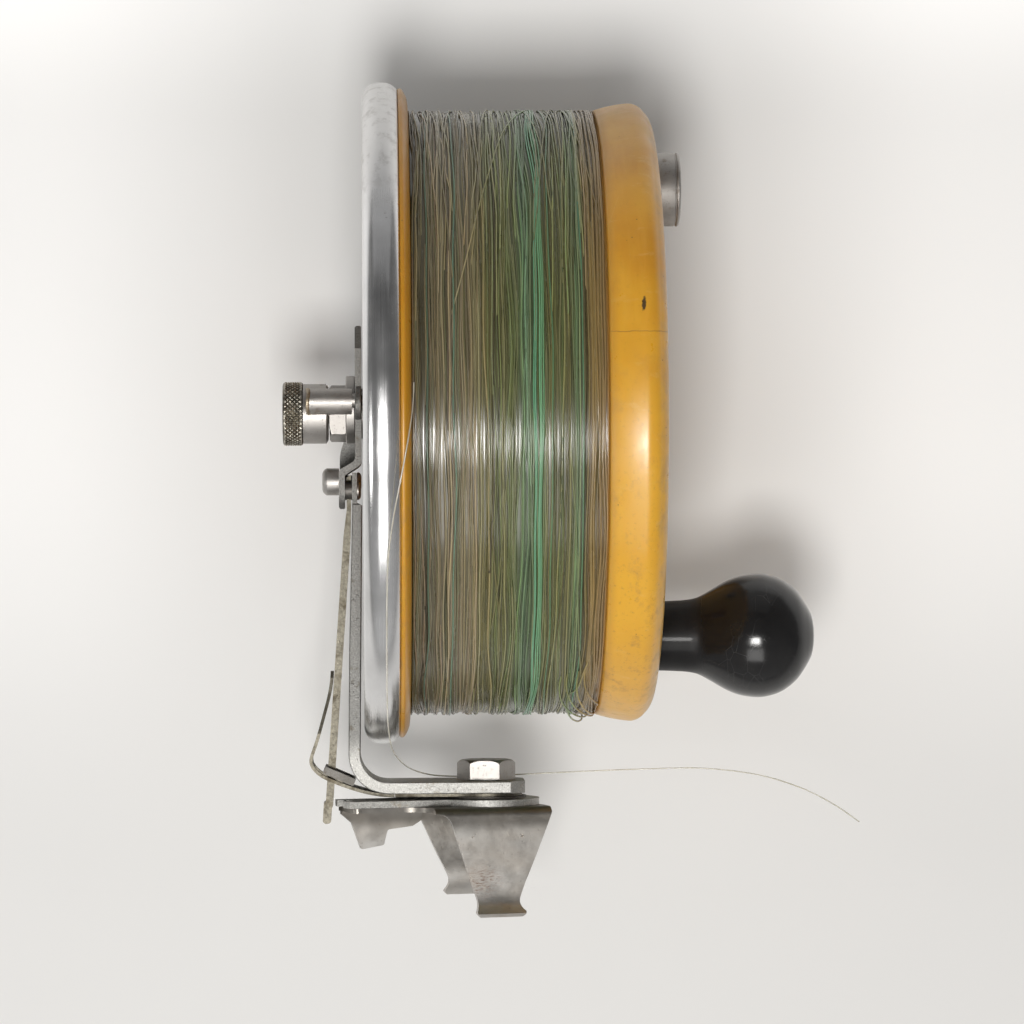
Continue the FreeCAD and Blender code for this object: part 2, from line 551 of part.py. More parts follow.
strip = extrude_y([
    (-40.2, -15.5), (-41.3, -16.1), (-41.3, -24.2), (-42.15, -31.0),
    (-46.85, -97.2), (-47.35, -97.6), (-47.6, -101.6),
    ('arc', (-47.2, -102.6), (-46.4, -102.7)),
    ('arc', (-45.75, -102.4), (-45.55, -101.7)), (-45.35, -98.9), (-45.05, -98.2),
    (-40.35, -31.0), (-40.2, -24.0)], -STRIP_HALF, STRIP_HALF)
strip = strip.cut([cyl_x(-45, -38, STUD_SLOT_HALF, z=STUD_Z),
                   box(-45, -38, -STUD_SLOT_HALF, STUD_SLOT_HALF, STUD_Z, -14)])
save("latch_strip", tidy(strip))

# Return leaf: up-turned finger, tight bend, slotted arm under the leg.
# (x, z) along the middle of the sheet, from the finger's top.
LEAF_MIDDLE = [
    (-45.12, -64.6), (-47.35, -76.2), (-49.85, -84.5), (-50.45, -87.3), (-49.1, -89.55),
    (-45.0, -91.95), (-39.9, -93.85), (-35.1, -95.1), (-32.3, -95.5), (-29.7, -95.56)]

leaf_curve = smooth_curve([Vector(x, 0, z) for x, z in LEAF_MIDDLE])
leaf = extrude_y(sheet_outline(leaf_curve, SPRING_T, 60), -SPRING_HALF, SPRING_HALF)
# slot for the latch strip, finger narrowed and rounded at its top
leaf = leaf.cut(box(-49.9, -42.6, -4.4, 4.4, -97, -88.0))
leaf = leaf.common(extrude_x([
    (-SPRING_HALF, -100), (-SPRING_HALF, -80), (-4.5, -70), (-4.0, -66.2),
    ('arc', (-2.9, -64.9), (-1.5, -64.2)), (1.5, -64.2),
    ('arc', (2.9, -64.9), (4.0, -66.2)), (4.5, -70), (SPRING_HALF, -80),
    (SPRING_HALF, -100)], -52, -28))
save("latch_spring", tidy(leaf))

# flat root of the leaf, round the swivel bolt
root_z1 = LEG_BOT - 0.05
root = extrude_z([
    (-29.55, -SPRING_HALF), (-14.0, -SPRING_HALF), ('arc', (-11.5, -7.6), (-9.6, -8.5)),
    ('arc', (PIVOT_X + 9.0, 0.0), (-9.6, 8.5)), ('arc', (-11.5, 7.6), (-14.0, SPRING_HALF)),
    (-29.55, SPRING_HALF)], root_z1 - SPRING_T, root_z1)
root = root.cut(cyl_z(-97, -94, 4.05, x=PIVOT_X))
save("latch_spring_root", tidy(root))

# sloping pads on the leaf, one each side of its slot
pads = []
for y0, y1 in ((-SPRING_HALF, -4.5), (4.5, SPRING_HALF)):
    pad = box(0, 8.2, y0, y1, 0.03, 1.9)
    pad.rotate(Vector(0, 0, 0), Vector(0, 1, 0), 23.5)
    pad.translate(Vector(-47.55, 0, -89.95))
    pad = max(pad.cut(leaf).Solids, key=lambda solid: solid.Volume)
    pads.append(tidy(pad))
save("spring_pads", Part.makeCompound(pads))

# --------------------------------------------------------------- lock plate
# A disc round the swivel and two arms at right angles, each with a notch in
# its end for the latch.
PLATE_R = 38.0           # reach of the arms
NOTCH_HALF, NOTCH_DEPTH = 2.9, 2.4

half = FOOT_ARM_HALF
disc = cyl_z(PLATE_Z0, PLATE_Z1, 13.3)
back_arm = box(-PLATE_R - 2, 0, -half, half, PLATE_Z0, PLATE_Z1)
side_arm = box(-half, half, 0, PLATE_R + 2, PLATE_Z0, PLATE_Z1)
corner = extrude_z([(-half, half), (-24.0, half), ('arc', (-14.6, 14.6), (-half, 24.0))],
                   PLATE_Z0, PLATE_Z1)
plate = disc.fuse([back_arm, side_arm, corner])
plate = plate.common(cyl_z(PLATE_Z0 - 1, PLATE_Z1 + 1, PLATE_R))
plate = plate.cut([
    box(-PLATE_R - 1, -PLATE_R + NOTCH_DEPTH, -NOTCH_HALF, NOTCH_HALF, -99, -96),
    box(-NOTCH_HALF, NOTCH_HALF, PLATE_R - NOTCH_DEPTH, PLATE_R + 1, -99, -96)])
plate = plate.cut(cyl_z(-100, -95, PIVOT_R + SEAT))
for u, n in FOOT_RIVETS:
    plate = plate.cut(cyl_z(-100, -95, FOOT_RIVET_R + SEAT, x=u, y=n))
save("lock_plate", place_foot(tidy(plate)))

# ----------------------------------------------------------------- rod clip
# Flat base with a tongue, two tapering spring arms with flared lips. The arm
# on the -n side is the longer.
CLIP_HALF = 15.0                 # outside half width
CLIP_U0, CLIP_U1 = -17.4, 12.6   # ends of the wide part of the base
ROLL_R = 2.1                     # outside radius of the roll-over
ROLL_Z = CLIP_Z1 - ROLL_R
LONG_END_Z, SHORT_END_Z = -125.3, -121.9
TONGUE_FILLET = 6.0


def along_clip(segs):
    """Extrude a (distance out on the -n side, z) outline along the clip."""
    return outline(segs, lambda out, z: Vector(-40, -out, z)).extrude(Vector(80, 0, 0))


def arm_roll():
    """Quarter bend from the base into an arm."""
    centre = CLIP_HALF - ROLL_R
    outer, inner = ROLL_R * COS45, (ROLL_R - CLIP_T) * COS45
    return along_clip([
        (centre, CLIP_Z1), ('arc', (centre + outer, ROLL_Z + outer), (CLIP_HALF, ROLL_Z)),
        (CLIP_HALF - CLIP_T, ROLL_Z),
        ('arc', (centre + inner, ROLL_Z + inner), (centre, CLIP_Z0))])


def arm_sheet(end_z):
    """Arm below the roll: slight inward bow, lip turned outwards."""
    middle = CLIP_HALF - CLIP_T / 2
    waist_z = end_z + 4.9
    stations = [   # (distance out, z)
        (middle, ROLL_Z), (middle - 0.3, ROLL_Z - 5), (middle - 1.1, ROLL_Z - 12),
        (middle - 1.9, waist_z), (middle - 1.2, waist_z - 2.2), (middle + 0.9, end_z + 0.35)]
    curve = smooth_curve([Vector(out, 0, z) for out, z in stations],
                         InitialTangent=Vector(0, 0, -1),
                         FinalTangent=Vector(0.75, 0, -0.66))
    return along_clip(sheet_outline(curve, CLIP_T, 30))


def arm_trim(end_z):
    """(u, z) outline that trims an arm: wide at the base, waist, flared lip."""
    waist_z = end_z + 4.4
    return extrude_y([
        (CLIP_U0, CLIP_Z1 + 1), (CLIP_U0, -99.6), ('arc', (-14.6, -100.3), (-13.2, -102.3)),
        (-6.3, waist_z), ('arc', (-6.35, waist_z - 2.0), (-6.9, end_z + 1.2)),
        ('arc', (-6.5, end_z + 0.25), (-5.6, end_z - 0.2)), (4.4, end_z - 0.2),
        ('arc', (5.3, end_z + 0.3), (5.7, end_z + 1.4)),
        ('arc', (4.95, waist_z - 2.2), (4.7, waist_z)), (CLIP_U1, -99.6),
        (CLIP_U1, CLIP_Z1 + 1)], -30, 0)


def clip_arm(end_z):
    return arm_roll().fuse(arm_sheet(end_z)).common(arm_trim(end_z))


long_arm = clip_arm(LONG_END_Z)
short_arm = clip_arm(SHORT_END_Z).mirror(Vector(0, 0, 0), Vector(0, 1, 0))
base_half = CLIP_HALF - ROLL_R
fillet_u = CLIP_U0 - TONGUE_FILLET
fillet_mid = TONGUE_FILLET * (1 - COS45)
base = extrude_z([
    (-36.5, -half + 1.5), ('arc', (-36.05, -half + 0.45), (-35.0, -half)), (fillet_u, -half),
    ('arc', (CLIP_U0 - fillet_mid, -half - fillet_mid), (CLIP_U0, -half - TONGUE_FILLET)),
    (CLIP_U0, -base_half), (CLIP_U1, -base_half), (CLIP_U1, base_half), (CLIP_U0, base_half),
    (CLIP_U0, half + TONGUE_FILLET),
    ('arc', (CLIP_U0 - fillet_mid, half + fillet_mid), (fillet_u, half)),
    (-36.5, half)], CLIP_Z0, CLIP_Z1)
# skirt hanging from the tongue's +n edge
skirt = extrude_y([
    (-36.1, CLIP_Z1 - 0.1), (-36.1, -100.3), (-33.4, -102.6), (-31.2, -108.6),
    ('arc', (-30.85, -109.1), (-30.2, -109.15)), (-25.7, -108.4),
    ('arc', (-25.1, -108.1), (-24.95, -107.5)), (-24.2, -104.9),
    ('arc', (-23.9, -104.5), (-23.4, -104.4)), (-17.6, -103.7), (-15.3, -102.3),
    (-14.9, CLIP_Z1 - 0.1)], half - CLIP_T, half)
clip = base.fuse([long_arm, short_arm, skirt])
clip = clip.cut(cyl_z(-101, -97, PIVOT_R + SEAT))
# countersunk rivet holes
for u, n in FOOT_RIVETS:
    clip = clip.cut(turn_z([
        (0, CLIP_Z0 - 1), (2.62, CLIP_Z0 - 1), (2.62, CLIP_Z0),
        (FOOT_RIVET_R + SEAT, CLIP_Z0 + 0.82), (FOOT_RIVET_R + SEAT, -97), (0, -97)], u, n))
# two punch marks on the outside of the long arm
for u in (-7.9, 4.9):
    clip = clip.cut(Part.makeCone(0.75, 0.15, 0.9, Vector(u, -15.35, -105.4),
                                  Vector(0, 1, 0)))
save("rod_clip", place_foot(tidy(clip)))

# -------------------------------------------------------- fixings of the foot
rivet_top = PLATE_Z1 - 0.04
foot_rivets = []
for u, n in FOOT_RIVETS:
    rivet = turn_z([(0, CLIP_Z0), (2.58, CLIP_Z0), (FOOT_RIVET_R, CLIP_Z0 + 0.8),
                    (FOOT_RIVET_R, rivet_top), (0, rivet_top)], u, n)
    foot_rivets.append(place_foot(tidy(rivet)))
save("plate_rivets", Part.makeCompound(foot_rivets))

HEAD_Z0, HEAD_Z1 = LEG_TOP + 0.05, -87.0   # bolt head

bolt_head = extrude_z([(PIVOT_X + x, y) for x, y in hexagon(HEX_AF, -5.0)], HEAD_Z0, HEAD_Z1)
head_limit = turn_z([
    (0, HEAD_Z0), (HEX_CORNER_R - 0.5, HEAD_Z0), (HEX_CORNER_R + 0.05, HEAD_Z0 + 0.3),
    (HEX_CORNER_R + 0.05, HEAD_Z1 - 1.05),
    ('arc', (HEX_CORNER_R - 0.45, HEAD_Z1 - 0.45), (HEX_CORNER_R - 1.5, HEAD_Z1)),
    (0, HEAD_Z1)], x=PIVOT_X)
bolt = bolt_head.common(head_limit).fuse(cyl_z(CLIP_Z0, HEAD_Z0, PIVOT_R, x=PIVOT_X))
save("pivot_bolt", tidy(bolt))

swivel_washer = cyl_z(PLATE_Z1 + 0.05, -96.0, 10.0, x=PIVOT_X)
swivel_washer = swivel_washer.cut(cyl_z(-97, -95, PIVOT_R + SEAT, x=PIVOT_X))
save("swivel_washer", tidy(swivel_washer))
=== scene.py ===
# A fishing reel: an amber spool full of nylon line, with a polished rim guard, a knurled
# check cap, a black handle knob and a steel clip below.
# The spindle lies along X: guard and check cap towards -X, handle and counterweight towards
# +X. The clip hangs towards -Z and the camera looks along +Y, so -Y is the near side.
# Sizes are in millimetres about the spindle axis unless a name or comment says otherwise.
import json
import math
import bpy
import bmesh
import numpy as np
from mathutils import Vector, Matrix


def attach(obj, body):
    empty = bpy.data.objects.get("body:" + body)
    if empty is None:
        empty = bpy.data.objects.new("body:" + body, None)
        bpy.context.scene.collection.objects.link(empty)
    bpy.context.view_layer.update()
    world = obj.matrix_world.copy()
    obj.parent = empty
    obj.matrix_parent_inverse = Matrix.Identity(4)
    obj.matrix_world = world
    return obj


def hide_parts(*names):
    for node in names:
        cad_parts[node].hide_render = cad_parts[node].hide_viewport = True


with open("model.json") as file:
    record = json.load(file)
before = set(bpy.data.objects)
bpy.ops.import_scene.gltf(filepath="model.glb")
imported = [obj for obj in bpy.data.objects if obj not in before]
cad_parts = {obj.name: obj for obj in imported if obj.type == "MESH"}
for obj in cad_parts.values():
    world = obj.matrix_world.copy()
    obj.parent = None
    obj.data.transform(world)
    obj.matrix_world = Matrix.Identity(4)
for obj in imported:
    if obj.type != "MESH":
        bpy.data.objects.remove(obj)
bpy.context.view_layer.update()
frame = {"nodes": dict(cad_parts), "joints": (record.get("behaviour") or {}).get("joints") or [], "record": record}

NODES = frame["nodes"]
SLOTS = {part["node"]: part["material_slot"] for part in frame["record"]["subparts"]}
ORIGIN = Vector(next(j["pos_m"] for j in frame["joints"] if j["name"] == "spool_spin"))
RNG = np.random.default_rng(20260)
DEG = math.pi / 180
TURN = 2 * math.pi
scene = bpy.context.scene

# rim guard
GUARD_X0, GUARD_R, GUARD_WALL = -37.1, 82.75, 1.2
GUARD_LIP_X = -28.34                # edge that meets the spool
# spool
FLANGE_X0, FLANGE_X1, FLANGE_R = -28.3, -25.8, 81.3     # flange at -X
DRUM_X1, DRUM_BORE, DRUM_R = 20.5, 58.5, 62.0
WEB_X0, WEB_X1, HUB_BORE, HUB_R = 25.0, 29.0, 8.0, 14.0
HOLE_R, HOLE_PITCH_R = 4.0, 37.0
RIB_HALF = 1.5
# heights of the handle knob and of the counterweight
KNOB_Z, WEIGHT_Z = -56.3, 56.2
# knurled cap: its ends, its radius and the straight knurled length
CAP_X0, CAP_X1, CAP_R = -57.2, -52.12, 8.05
KNURL_X0, KNURL_X1 = -56.4, -52.9
# line winding
LINE_X0, LINE_X1, LINE_R = -25.6, 20.3, 75.8
BED_R0 = 62.1


def point(x, y, z):
    """Millimetres about the spindle axis to metres in the frame."""
    return Vector((ORIGIN.x + x / 1000, ORIGIN.y + y / 1000, ORIGIN.z + z / 1000))


# ============================================================ shader building
class Shader:
    """The node tree of a material or world, with short ways to add nodes."""

    def __init__(self, owner, output_kind="ShaderNodeOutputMaterial"):
        self.owner = owner
        owner.use_nodes = True
        self.tree = owner.node_tree
        self.tree.nodes.clear()
        self.output = self.tree.nodes.new(output_kind)
        self._mm = None

    def put(self, socket, value):
        """Link a socket, or set its value."""
        if isinstance(value, bpy.types.NodeSocket):
            self.tree.links.new(value, socket)
        elif isinstance(value, (tuple, list)) and len(value) == 3 and socket.type == "RGBA":
            socket.default_value = (*value, 1.0)
        else:
            socket.default_value = value

    def node(self, kind, inputs=None, **props):
        node = self.tree.nodes.new(kind)
        for key, value in props.items():
            setattr(node, key, value)
        for key, value in (inputs or {}).items():
            self.put(node.inputs[key], value)
        return node

    # ---- arithmetic
    def math(self, operation, a, b=0.0, c=0.0, clamp=False):
        return self.node("ShaderNodeMath", {0: a, 1: b, 2: c}, operation=operation,
                         use_clamp=clamp).outputs[0]

    def add(self, a, b, clamp=False):
        return self.math("ADD", a, b, clamp=clamp)

    def sub(self, a, b):
        return self.math("SUBTRACT", a, b)

    def mul(self, a, b):
        return self.math("MULTIPLY", a, b)

    def highest(self, a, b):
        return self.math("MAXIMUM", a, b)

    def plus(self, value, mask, amount, clamp=False):
        """value + mask * amount"""
        return self.add(value, self.mul(mask, amount), clamp)

    def length(self, a, b):
        return self.math("SQRT", self.add(self.mul(a, a), self.mul(b, b)))

    def fade(self, value, span, to=(0.0, 1.0), smooth=False):
        """Carry value from the range span to the range to, clamped."""
        node = self.node("ShaderNodeMapRange",
                         {0: value, 1: span[0], 2: span[1], 3: to[0], 4: to[1]})
        if smooth:
            node.interpolation_type = "SMOOTHSTEP"
        return node.outputs[0]

    # ---- vectors
    def vector(self, operation, a, b=(0, 0, 0), **inputs):
        return self.node("ShaderNodeVectorMath", {0: a, 1: b, **inputs},
                         operation=operation).outputs[0]

    def stretch(self, vec, factors):
        return self.vector("MULTIPLY", vec, factors)

    def split(self, vec):
        return tuple(self.node("ShaderNodeSeparateXYZ", {0: vec}).outputs)

    def combine(self, x, y, z):
        return self.node("ShaderNodeCombineXYZ", {0: x, 1: y, 2: z}).outputs[0]

    def mm(self):
        """Object coordinates in millimetres about the spindle axis."""
        if self._mm is None:
            coords = self.node("ShaderNodeTexCoord").outputs["Object"]
            shifted = self.vector("SUBTRACT", coords, tuple(ORIGIN))
            self._mm = self.vector("SCALE", shifted, Scale=1000.0)
        return self._mm

    def polar(self):
        """x, radius, unit y and unit z about the spindle axis."""
        x, y, z = self.split(self.mm())
        radius = self.length(y, z)
        safe = self.highest(radius, 0.001)
        return x, radius, self.math("DIVIDE", y, safe), self.math("DIVIDE", z, safe)

    def round_vec(self, axial, radial, around):
        """Coordinates scaled separately along the axis, outwards and once round."""
        x, radius, unit_y, unit_z = self.polar()
        across = self.add(self.mul(x, axial), self.mul(radius, radial))
        return self.combine(across, self.mul(unit_y, around), self.mul(unit_z, around))

    # ---- textures
    def noise(self, vec, scale, detail=3.0, rough=0.5):
        return self.node("ShaderNodeTexNoise", {"Vector": vec, "Scale": scale, "Detail": detail,
                                                "Roughness": rough}).outputs[0]

    def patches(self, vec, scale, span, to=(0.0, 1.0), detail=3.0, rough=0.5):
        """Noise faded over a span of its values."""
        return self.fade(self.noise(vec, scale, detail, rough), span, to)

    def voronoi(self, vec, scale, feature="F1"):
        return self.node("ShaderNodeTexVoronoi", {"Vector": vec, "Scale": scale},
                         feature=feature).outputs["Distance"]

    def dots(self, vec, scale, span):
        """Round spots, 1 at the middle of each voronoi cell."""
        return self.fade(self.voronoi(vec, scale), span, to=(1, 0))

    def scratches(self, stretch, scale, width, seed, keep):
        """Sparse fine lines: stretched voronoi cell edges, gated by noise above keep."""
        vec = self.stretch(self.mm(), stretch)
        vec = self.vector("ADD", vec, (seed, seed * 0.7, seed * 1.3))
        edge = self.voronoi(vec, scale, feature="DISTANCE_TO_EDGE")
        line = self.fade(edge, (0.0, width), to=(1, 0))
        gate = self.patches(vec, scale * 0.35, span=(keep, keep + 0.08), detail=2)
        return self.mul(line, gate)

    # ---- colour and surface
    def ramp(self, factor, stops):
        node = self.node("ShaderNodeValToRGB", {"Fac": factor})
        elements = node.color_ramp.elements
        while len(elements) < len(stops):
            elements.new(0.5)
        for element, (position, colour) in zip(elements, stops):
            element.position = position
            element.color = (*colour, 1.0)
        return node.outputs[0]

    def mix(self, factor, under, over, mode="MIX"):
        return self.node("ShaderNodeMix", {0: factor, 6: under, 7: over}, data_type="RGBA",
                         blend_type=mode, clamp_factor=True).outputs[2]

    def paint(self, base, colour, mask, amount):
        """Lay colour over base where mask is set."""
        return self.mix(self.mul(mask, amount), base, colour)

    def multiply(self, base, colour):
        return self.mix(1.0, base, colour, mode="MULTIPLY")

    def bump(self, height, strength, distance):
        """Distance is in metres."""
        return self.node("ShaderNodeBump", {"Height": height, "Strength": strength,
                                            "Distance": distance}).outputs[0]

    def principled(self, **inputs):
        """Finish the material with a principled surface and return it."""
        named = {key.replace("_", " "): value for key, value in inputs.items()}
        surface = self.node("ShaderNodeBsdfPrincipled", named)
        self.put(self.output.inputs[0], surface.outputs[0])
        return self.owner


def new_shader(name):
    return Shader(bpy.data.materials.new(name))


# =============================================================== materials
def guard_metal():
    """Polished metal, brushed round the axis, pitted and duller on top."""
    mat = new_shader("guard_metal")
    mm = mat.mm()
    brushed = mat.noise(mat.round_vec(axial=7, radial=7, around=1.6), scale=2.2, detail=4,
                        rough=0.65)
    blotch = mat.noise(mm, scale=0.06, rough=0.6)
    dull = mat.fade(mat.polar()[3], span=(0.50, 0.72), smooth=True)

    pits = mat.mul(mat.dots(mm, scale=0.55, span=(0.04, 0.13)),
                   mat.patches(mm, scale=0.22, detail=2, span=(0.56, 0.64)))
    rubbed = mat.patches(mat.stretch(mm, (1.0, 0.8, 0.8)), scale=0.35, detail=6, rough=0.75,
                         span=(0.50, 0.62))
    pits = mat.highest(pits, mat.mul(mat.mul(rubbed, dull), 0.5))
    lines = mat.highest(
        mat.scratches((1.0, 0.45, 0.45), scale=0.22, width=0.012, seed=3.1, keep=0.56),
        mat.scratches((0.5, 0.8, 0.3), scale=0.31, width=0.010, seed=9.7, keep=0.58))
    # only broken stretches of each fine line remain
    lines = mat.mul(lines, mat.patches(mat.stretch(mm, (0.7, 1.0, 1.0)), scale=0.55, detail=2,
                                       span=(0.50, 0.60), to=(0, 0.45)))
    marks = mat.highest(pits, lines)

    base = mat.ramp(blotch, [(0.3, (0.60, 0.60, 0.60)), (0.55, (0.72, 0.72, 0.725)),
                             (0.8, (0.78, 0.775, 0.77))])
    base = mat.paint(base, (0.20, 0.18, 0.16), mask=marks, amount=0.55)
    base = mat.paint(base, (0.52, 0.505, 0.485), mask=dull, amount=0.35)
    rough = mat.fade(blotch, span=(0.3, 0.75), to=(0.13, 0.24))
    rough = mat.add(rough, mat.fade(brushed, span=(0.35, 0.7), to=(0, 0.10)))
    rough = mat.plus(rough, marks, amount=0.25, clamp=True)
    rough = mat.plus(rough, dull, amount=0.12)
    height = mat.sub(mat.mul(brushed, 0.25), marks)
    return mat.principled(Base_Color=base, Metallic=1.0, Roughness=rough,
                          Normal=mat.bump(height, strength=0.25, distance=0.00006))


def amber_plastic():
    """Translucent amber, dusty with a painted sheen on top, painted lighter and yellower underneath, grimy below,
    with a hairline seam and a chip.
    """
    mat = new_shader("amber_plastic")
    mm = mat.mm()
    x, radius, _, unit_z = mat.polar()
    _, y, z = mat.split(mm)

    # cloudy amber; the underside is painted lighter and yellower, a painted light for the lamps below
    streaks = mat.noise(mat.round_vec(axial=0.25, radial=0.25, around=3), scale=1, detail=4,
                        rough=0.6)
    col = mat.ramp(mat.noise(mm, scale=0.035, rough=0.55),
                   [(0.25, (0.50, 0.215, 0.012)), (0.45, (0.60, 0.28, 0.018)),
                    (0.62, (0.66, 0.33, 0.026)), (0.80, (0.57, 0.27, 0.018))])
    col = mat.mix(mat.fade(streaks, span=(0.45, 0.8), to=(0, 0.40)), col, (0.74, 0.42, 0.07))
    col = mat.mix(mat.fade(unit_z, span=(0.35, -0.35), to=(0, 0.60), smooth=True), col,
                  (0.70, 0.385, 0.030))
    # pale tan on top: dust, and a painted sheen of the light from above
    dust = mat.mul(mat.fade(unit_z, span=(0.45, 0.98), smooth=True),
                   mat.patches(mm, scale=0.09, detail=4, rough=0.6, span=(0.3, 0.7),
                               to=(0.45, 0.95)))
    col = mat.paint(col, (0.54, 0.375, 0.18), mask=dust, amount=0.48)
    # the -X flange is deeper in colour
    flange = mat.fade(x, span=(-26.5, -23.0), to=(1, 0))
    col = mat.paint(col, (0.40, 0.165, 0.008), mask=flange, amount=0.55)
    elsewhere = mat.sub(1.0, flange)

    # smudges and fine dirt, heavier low down
    grime = mat.noise(mat.stretch(mm, (1.0, 0.7, 0.7)), scale=0.20, detail=6, rough=0.72)
    low = mat.fade(unit_z, span=(0.1, -0.85), to=(0.25, 1))
    smudge = mat.mul(mat.fade(grime, span=(0.54, 0.70), to=(0, 0.62)), low)
    fine = mat.mul(mat.patches(mm, scale=0.9, detail=5, rough=0.75, span=(0.56, 0.68),
                               to=(0, 0.45)), low)
    col = mat.mix(smudge, col, (0.30, 0.165, 0.06))
    col = mat.mix(fine, col, (0.21, 0.11, 0.035))
    # darker brown along the line's edge, and dirt rubbed into the +X shoulder
    edge = mat.mul(mat.fade(x, span=(20.2, 23.4), to=(0.75, 0), smooth=True),
                   mat.fade(radius, span=(70, 76), to=(0.3, 1)))
    edge = mat.mul(edge, elsewhere)
    col = mat.paint(col, (0.30, 0.15, 0.04), mask=edge, amount=0.6)
    shoulder = mat.mul(mat.fade(x, span=(31.4, 33.6), smooth=True),
                       mat.fade(grime, span=(0.38, 0.58), to=(0.25, 1)))
    col = mat.paint(col, (0.36, 0.24, 0.12), mask=shoulder, amount=0.50)
    specks = mat.mul(mat.dots(mm, scale=0.42, span=(0.03, 0.10)),
                     mat.patches(mm, scale=0.3, detail=1, span=(0.58, 0.62), to=(0, 0.8)))
    col = mat.mix(specks, col, (0.13, 0.07, 0.02))

    # short pale scuffs, mostly across the crown
    lines = mat.scratches((0.5, 0.35, 0.30), scale=0.30, width=0.005, seed=5.0, keep=0.63)
    col = mat.paint(col, (0.86, 0.66, 0.33), mask=lines, amount=0.22)
    crown = mat.mul(mat.fade(radius, span=(75.5, 77.2)), elsewhere)
    scuffs = mat.mul(mat.patches(mat.stretch(mm, (0.35, 1.0, 1.0)), scale=0.30, detail=5,
                                 rough=0.7, span=(0.58, 0.74), to=(0, 0.20)), crown)
    col = mat.mix(scuffs, col, (0.80, 0.62, 0.33))

    # hairline seam across the near side of the +X rim, wavering about z = 16.1
    near = mat.mul(mat.fade(y, span=(-40, -50)), mat.fade(radius, span=(71, 73)))
    seam_z = mat.add(mat.mul(mat.noise(mm, scale=0.5, detail=2), 0.5), 16.1)
    seam = mat.fade(mat.math("ABSOLUTE", mat.sub(z, seam_z)), span=(0.03, 0.20), to=(1, 0))
    seam = mat.mul(seam, mat.mul(near, mat.fade(x, span=(20.6, 21.0))))
    col = mat.paint(col, (0.22, 0.11, 0.03), mask=seam, amount=0.55)
    # one dark ragged chip: a leaning oval about x = 25.9, z = 23.1
    chip_x = mat.mul(mat.sub(x, mat.math("MULTIPLY_ADD", z, 0.12, 25.9)), 1.9)
    chip_z = mat.mul(mat.sub(z, 23.1), 0.62)
    ragged = mat.sub(mat.noise(mm, scale=1.2, detail=2), 0.5)
    chip = mat.plus(mat.length(chip_x, chip_z), ragged, amount=1.4)
    chip = mat.mul(mat.fade(chip, span=(0.75, 1.10), to=(1, 0)), near)
    col = mat.paint(col, (0.03, 0.025, 0.02), mask=chip, amount=0.92)

    rough = mat.patches(mm, scale=0.12, detail=4, rough=0.6, span=(0.3, 0.7), to=(0.26, 0.42))
    rough = mat.plus(rough, dust, amount=0.15)
    rough = mat.plus(rough, smudge, amount=0.25)
    # broad waves and fine grain, cut by the marks
    height = mat.add(mat.mul(mat.noise(mm, scale=0.10, detail=2), 1.2),
                     mat.mul(mat.noise(mm, scale=0.9), 0.16))
    height = mat.sub(height, mat.mul(mat.add(lines, mat.add(seam, chip)), 0.5))
    return mat.principled(
        Base_Color=col, Roughness=rough, IOR=1.5, Subsurface_Weight=0.15,
        Normal=mat.bump(height, strength=0.35, distance=0.00012),
        Subsurface_Radius=(0.004, 0.0016, 0.0005), Subsurface_Scale=1.0,
        Coat_Weight=0.10, Coat_Roughness=0.25)


# position across the pack (0 at -X, 1 at +X), colour
LINE_BANDS = [
    (0.00, (0.115, 0.095, 0.055)), (0.05, (0.150, 0.130, 0.085)), (0.13, (0.235, 0.200, 0.135)),
    (0.22, (0.240, 0.216, 0.150)), (0.30, (0.280, 0.236, 0.150)), (0.37, (0.205, 0.195, 0.105)),
    (0.48, (0.180, 0.186, 0.092)), (0.535, (0.160, 0.192, 0.102)),
    (0.575, (0.150, 0.235, 0.145)), (0.61, (0.140, 0.205, 0.115)), (0.69, (0.176, 0.178, 0.088)),
    (0.80, (0.165, 0.172, 0.086)), (0.85, (0.150, 0.205, 0.120)), (0.89, (0.220, 0.175, 0.085)),
    (1.00, (0.265, 0.190, 0.090))]


def nylon_surface(mat, col, along, **inputs):
    """Glossy nylon whose roughness follows the noise along the strands."""
    return mat.principled(
        Base_Color=col, Roughness=mat.fade(along, span=(0.3, 0.8), to=(0.16, 0.34)), IOR=1.53,
        Specular_IOR_Level=0.7, Subsurface_Weight=0.25,
        Subsurface_Radius=(0.0012, 0.0012, 0.0008), Subsurface_Scale=1.0, **inputs)


def noise_along(mat):
    return mat.noise(mat.round_vec(axial=2, radial=0.4, around=7), scale=1, rough=0.6)


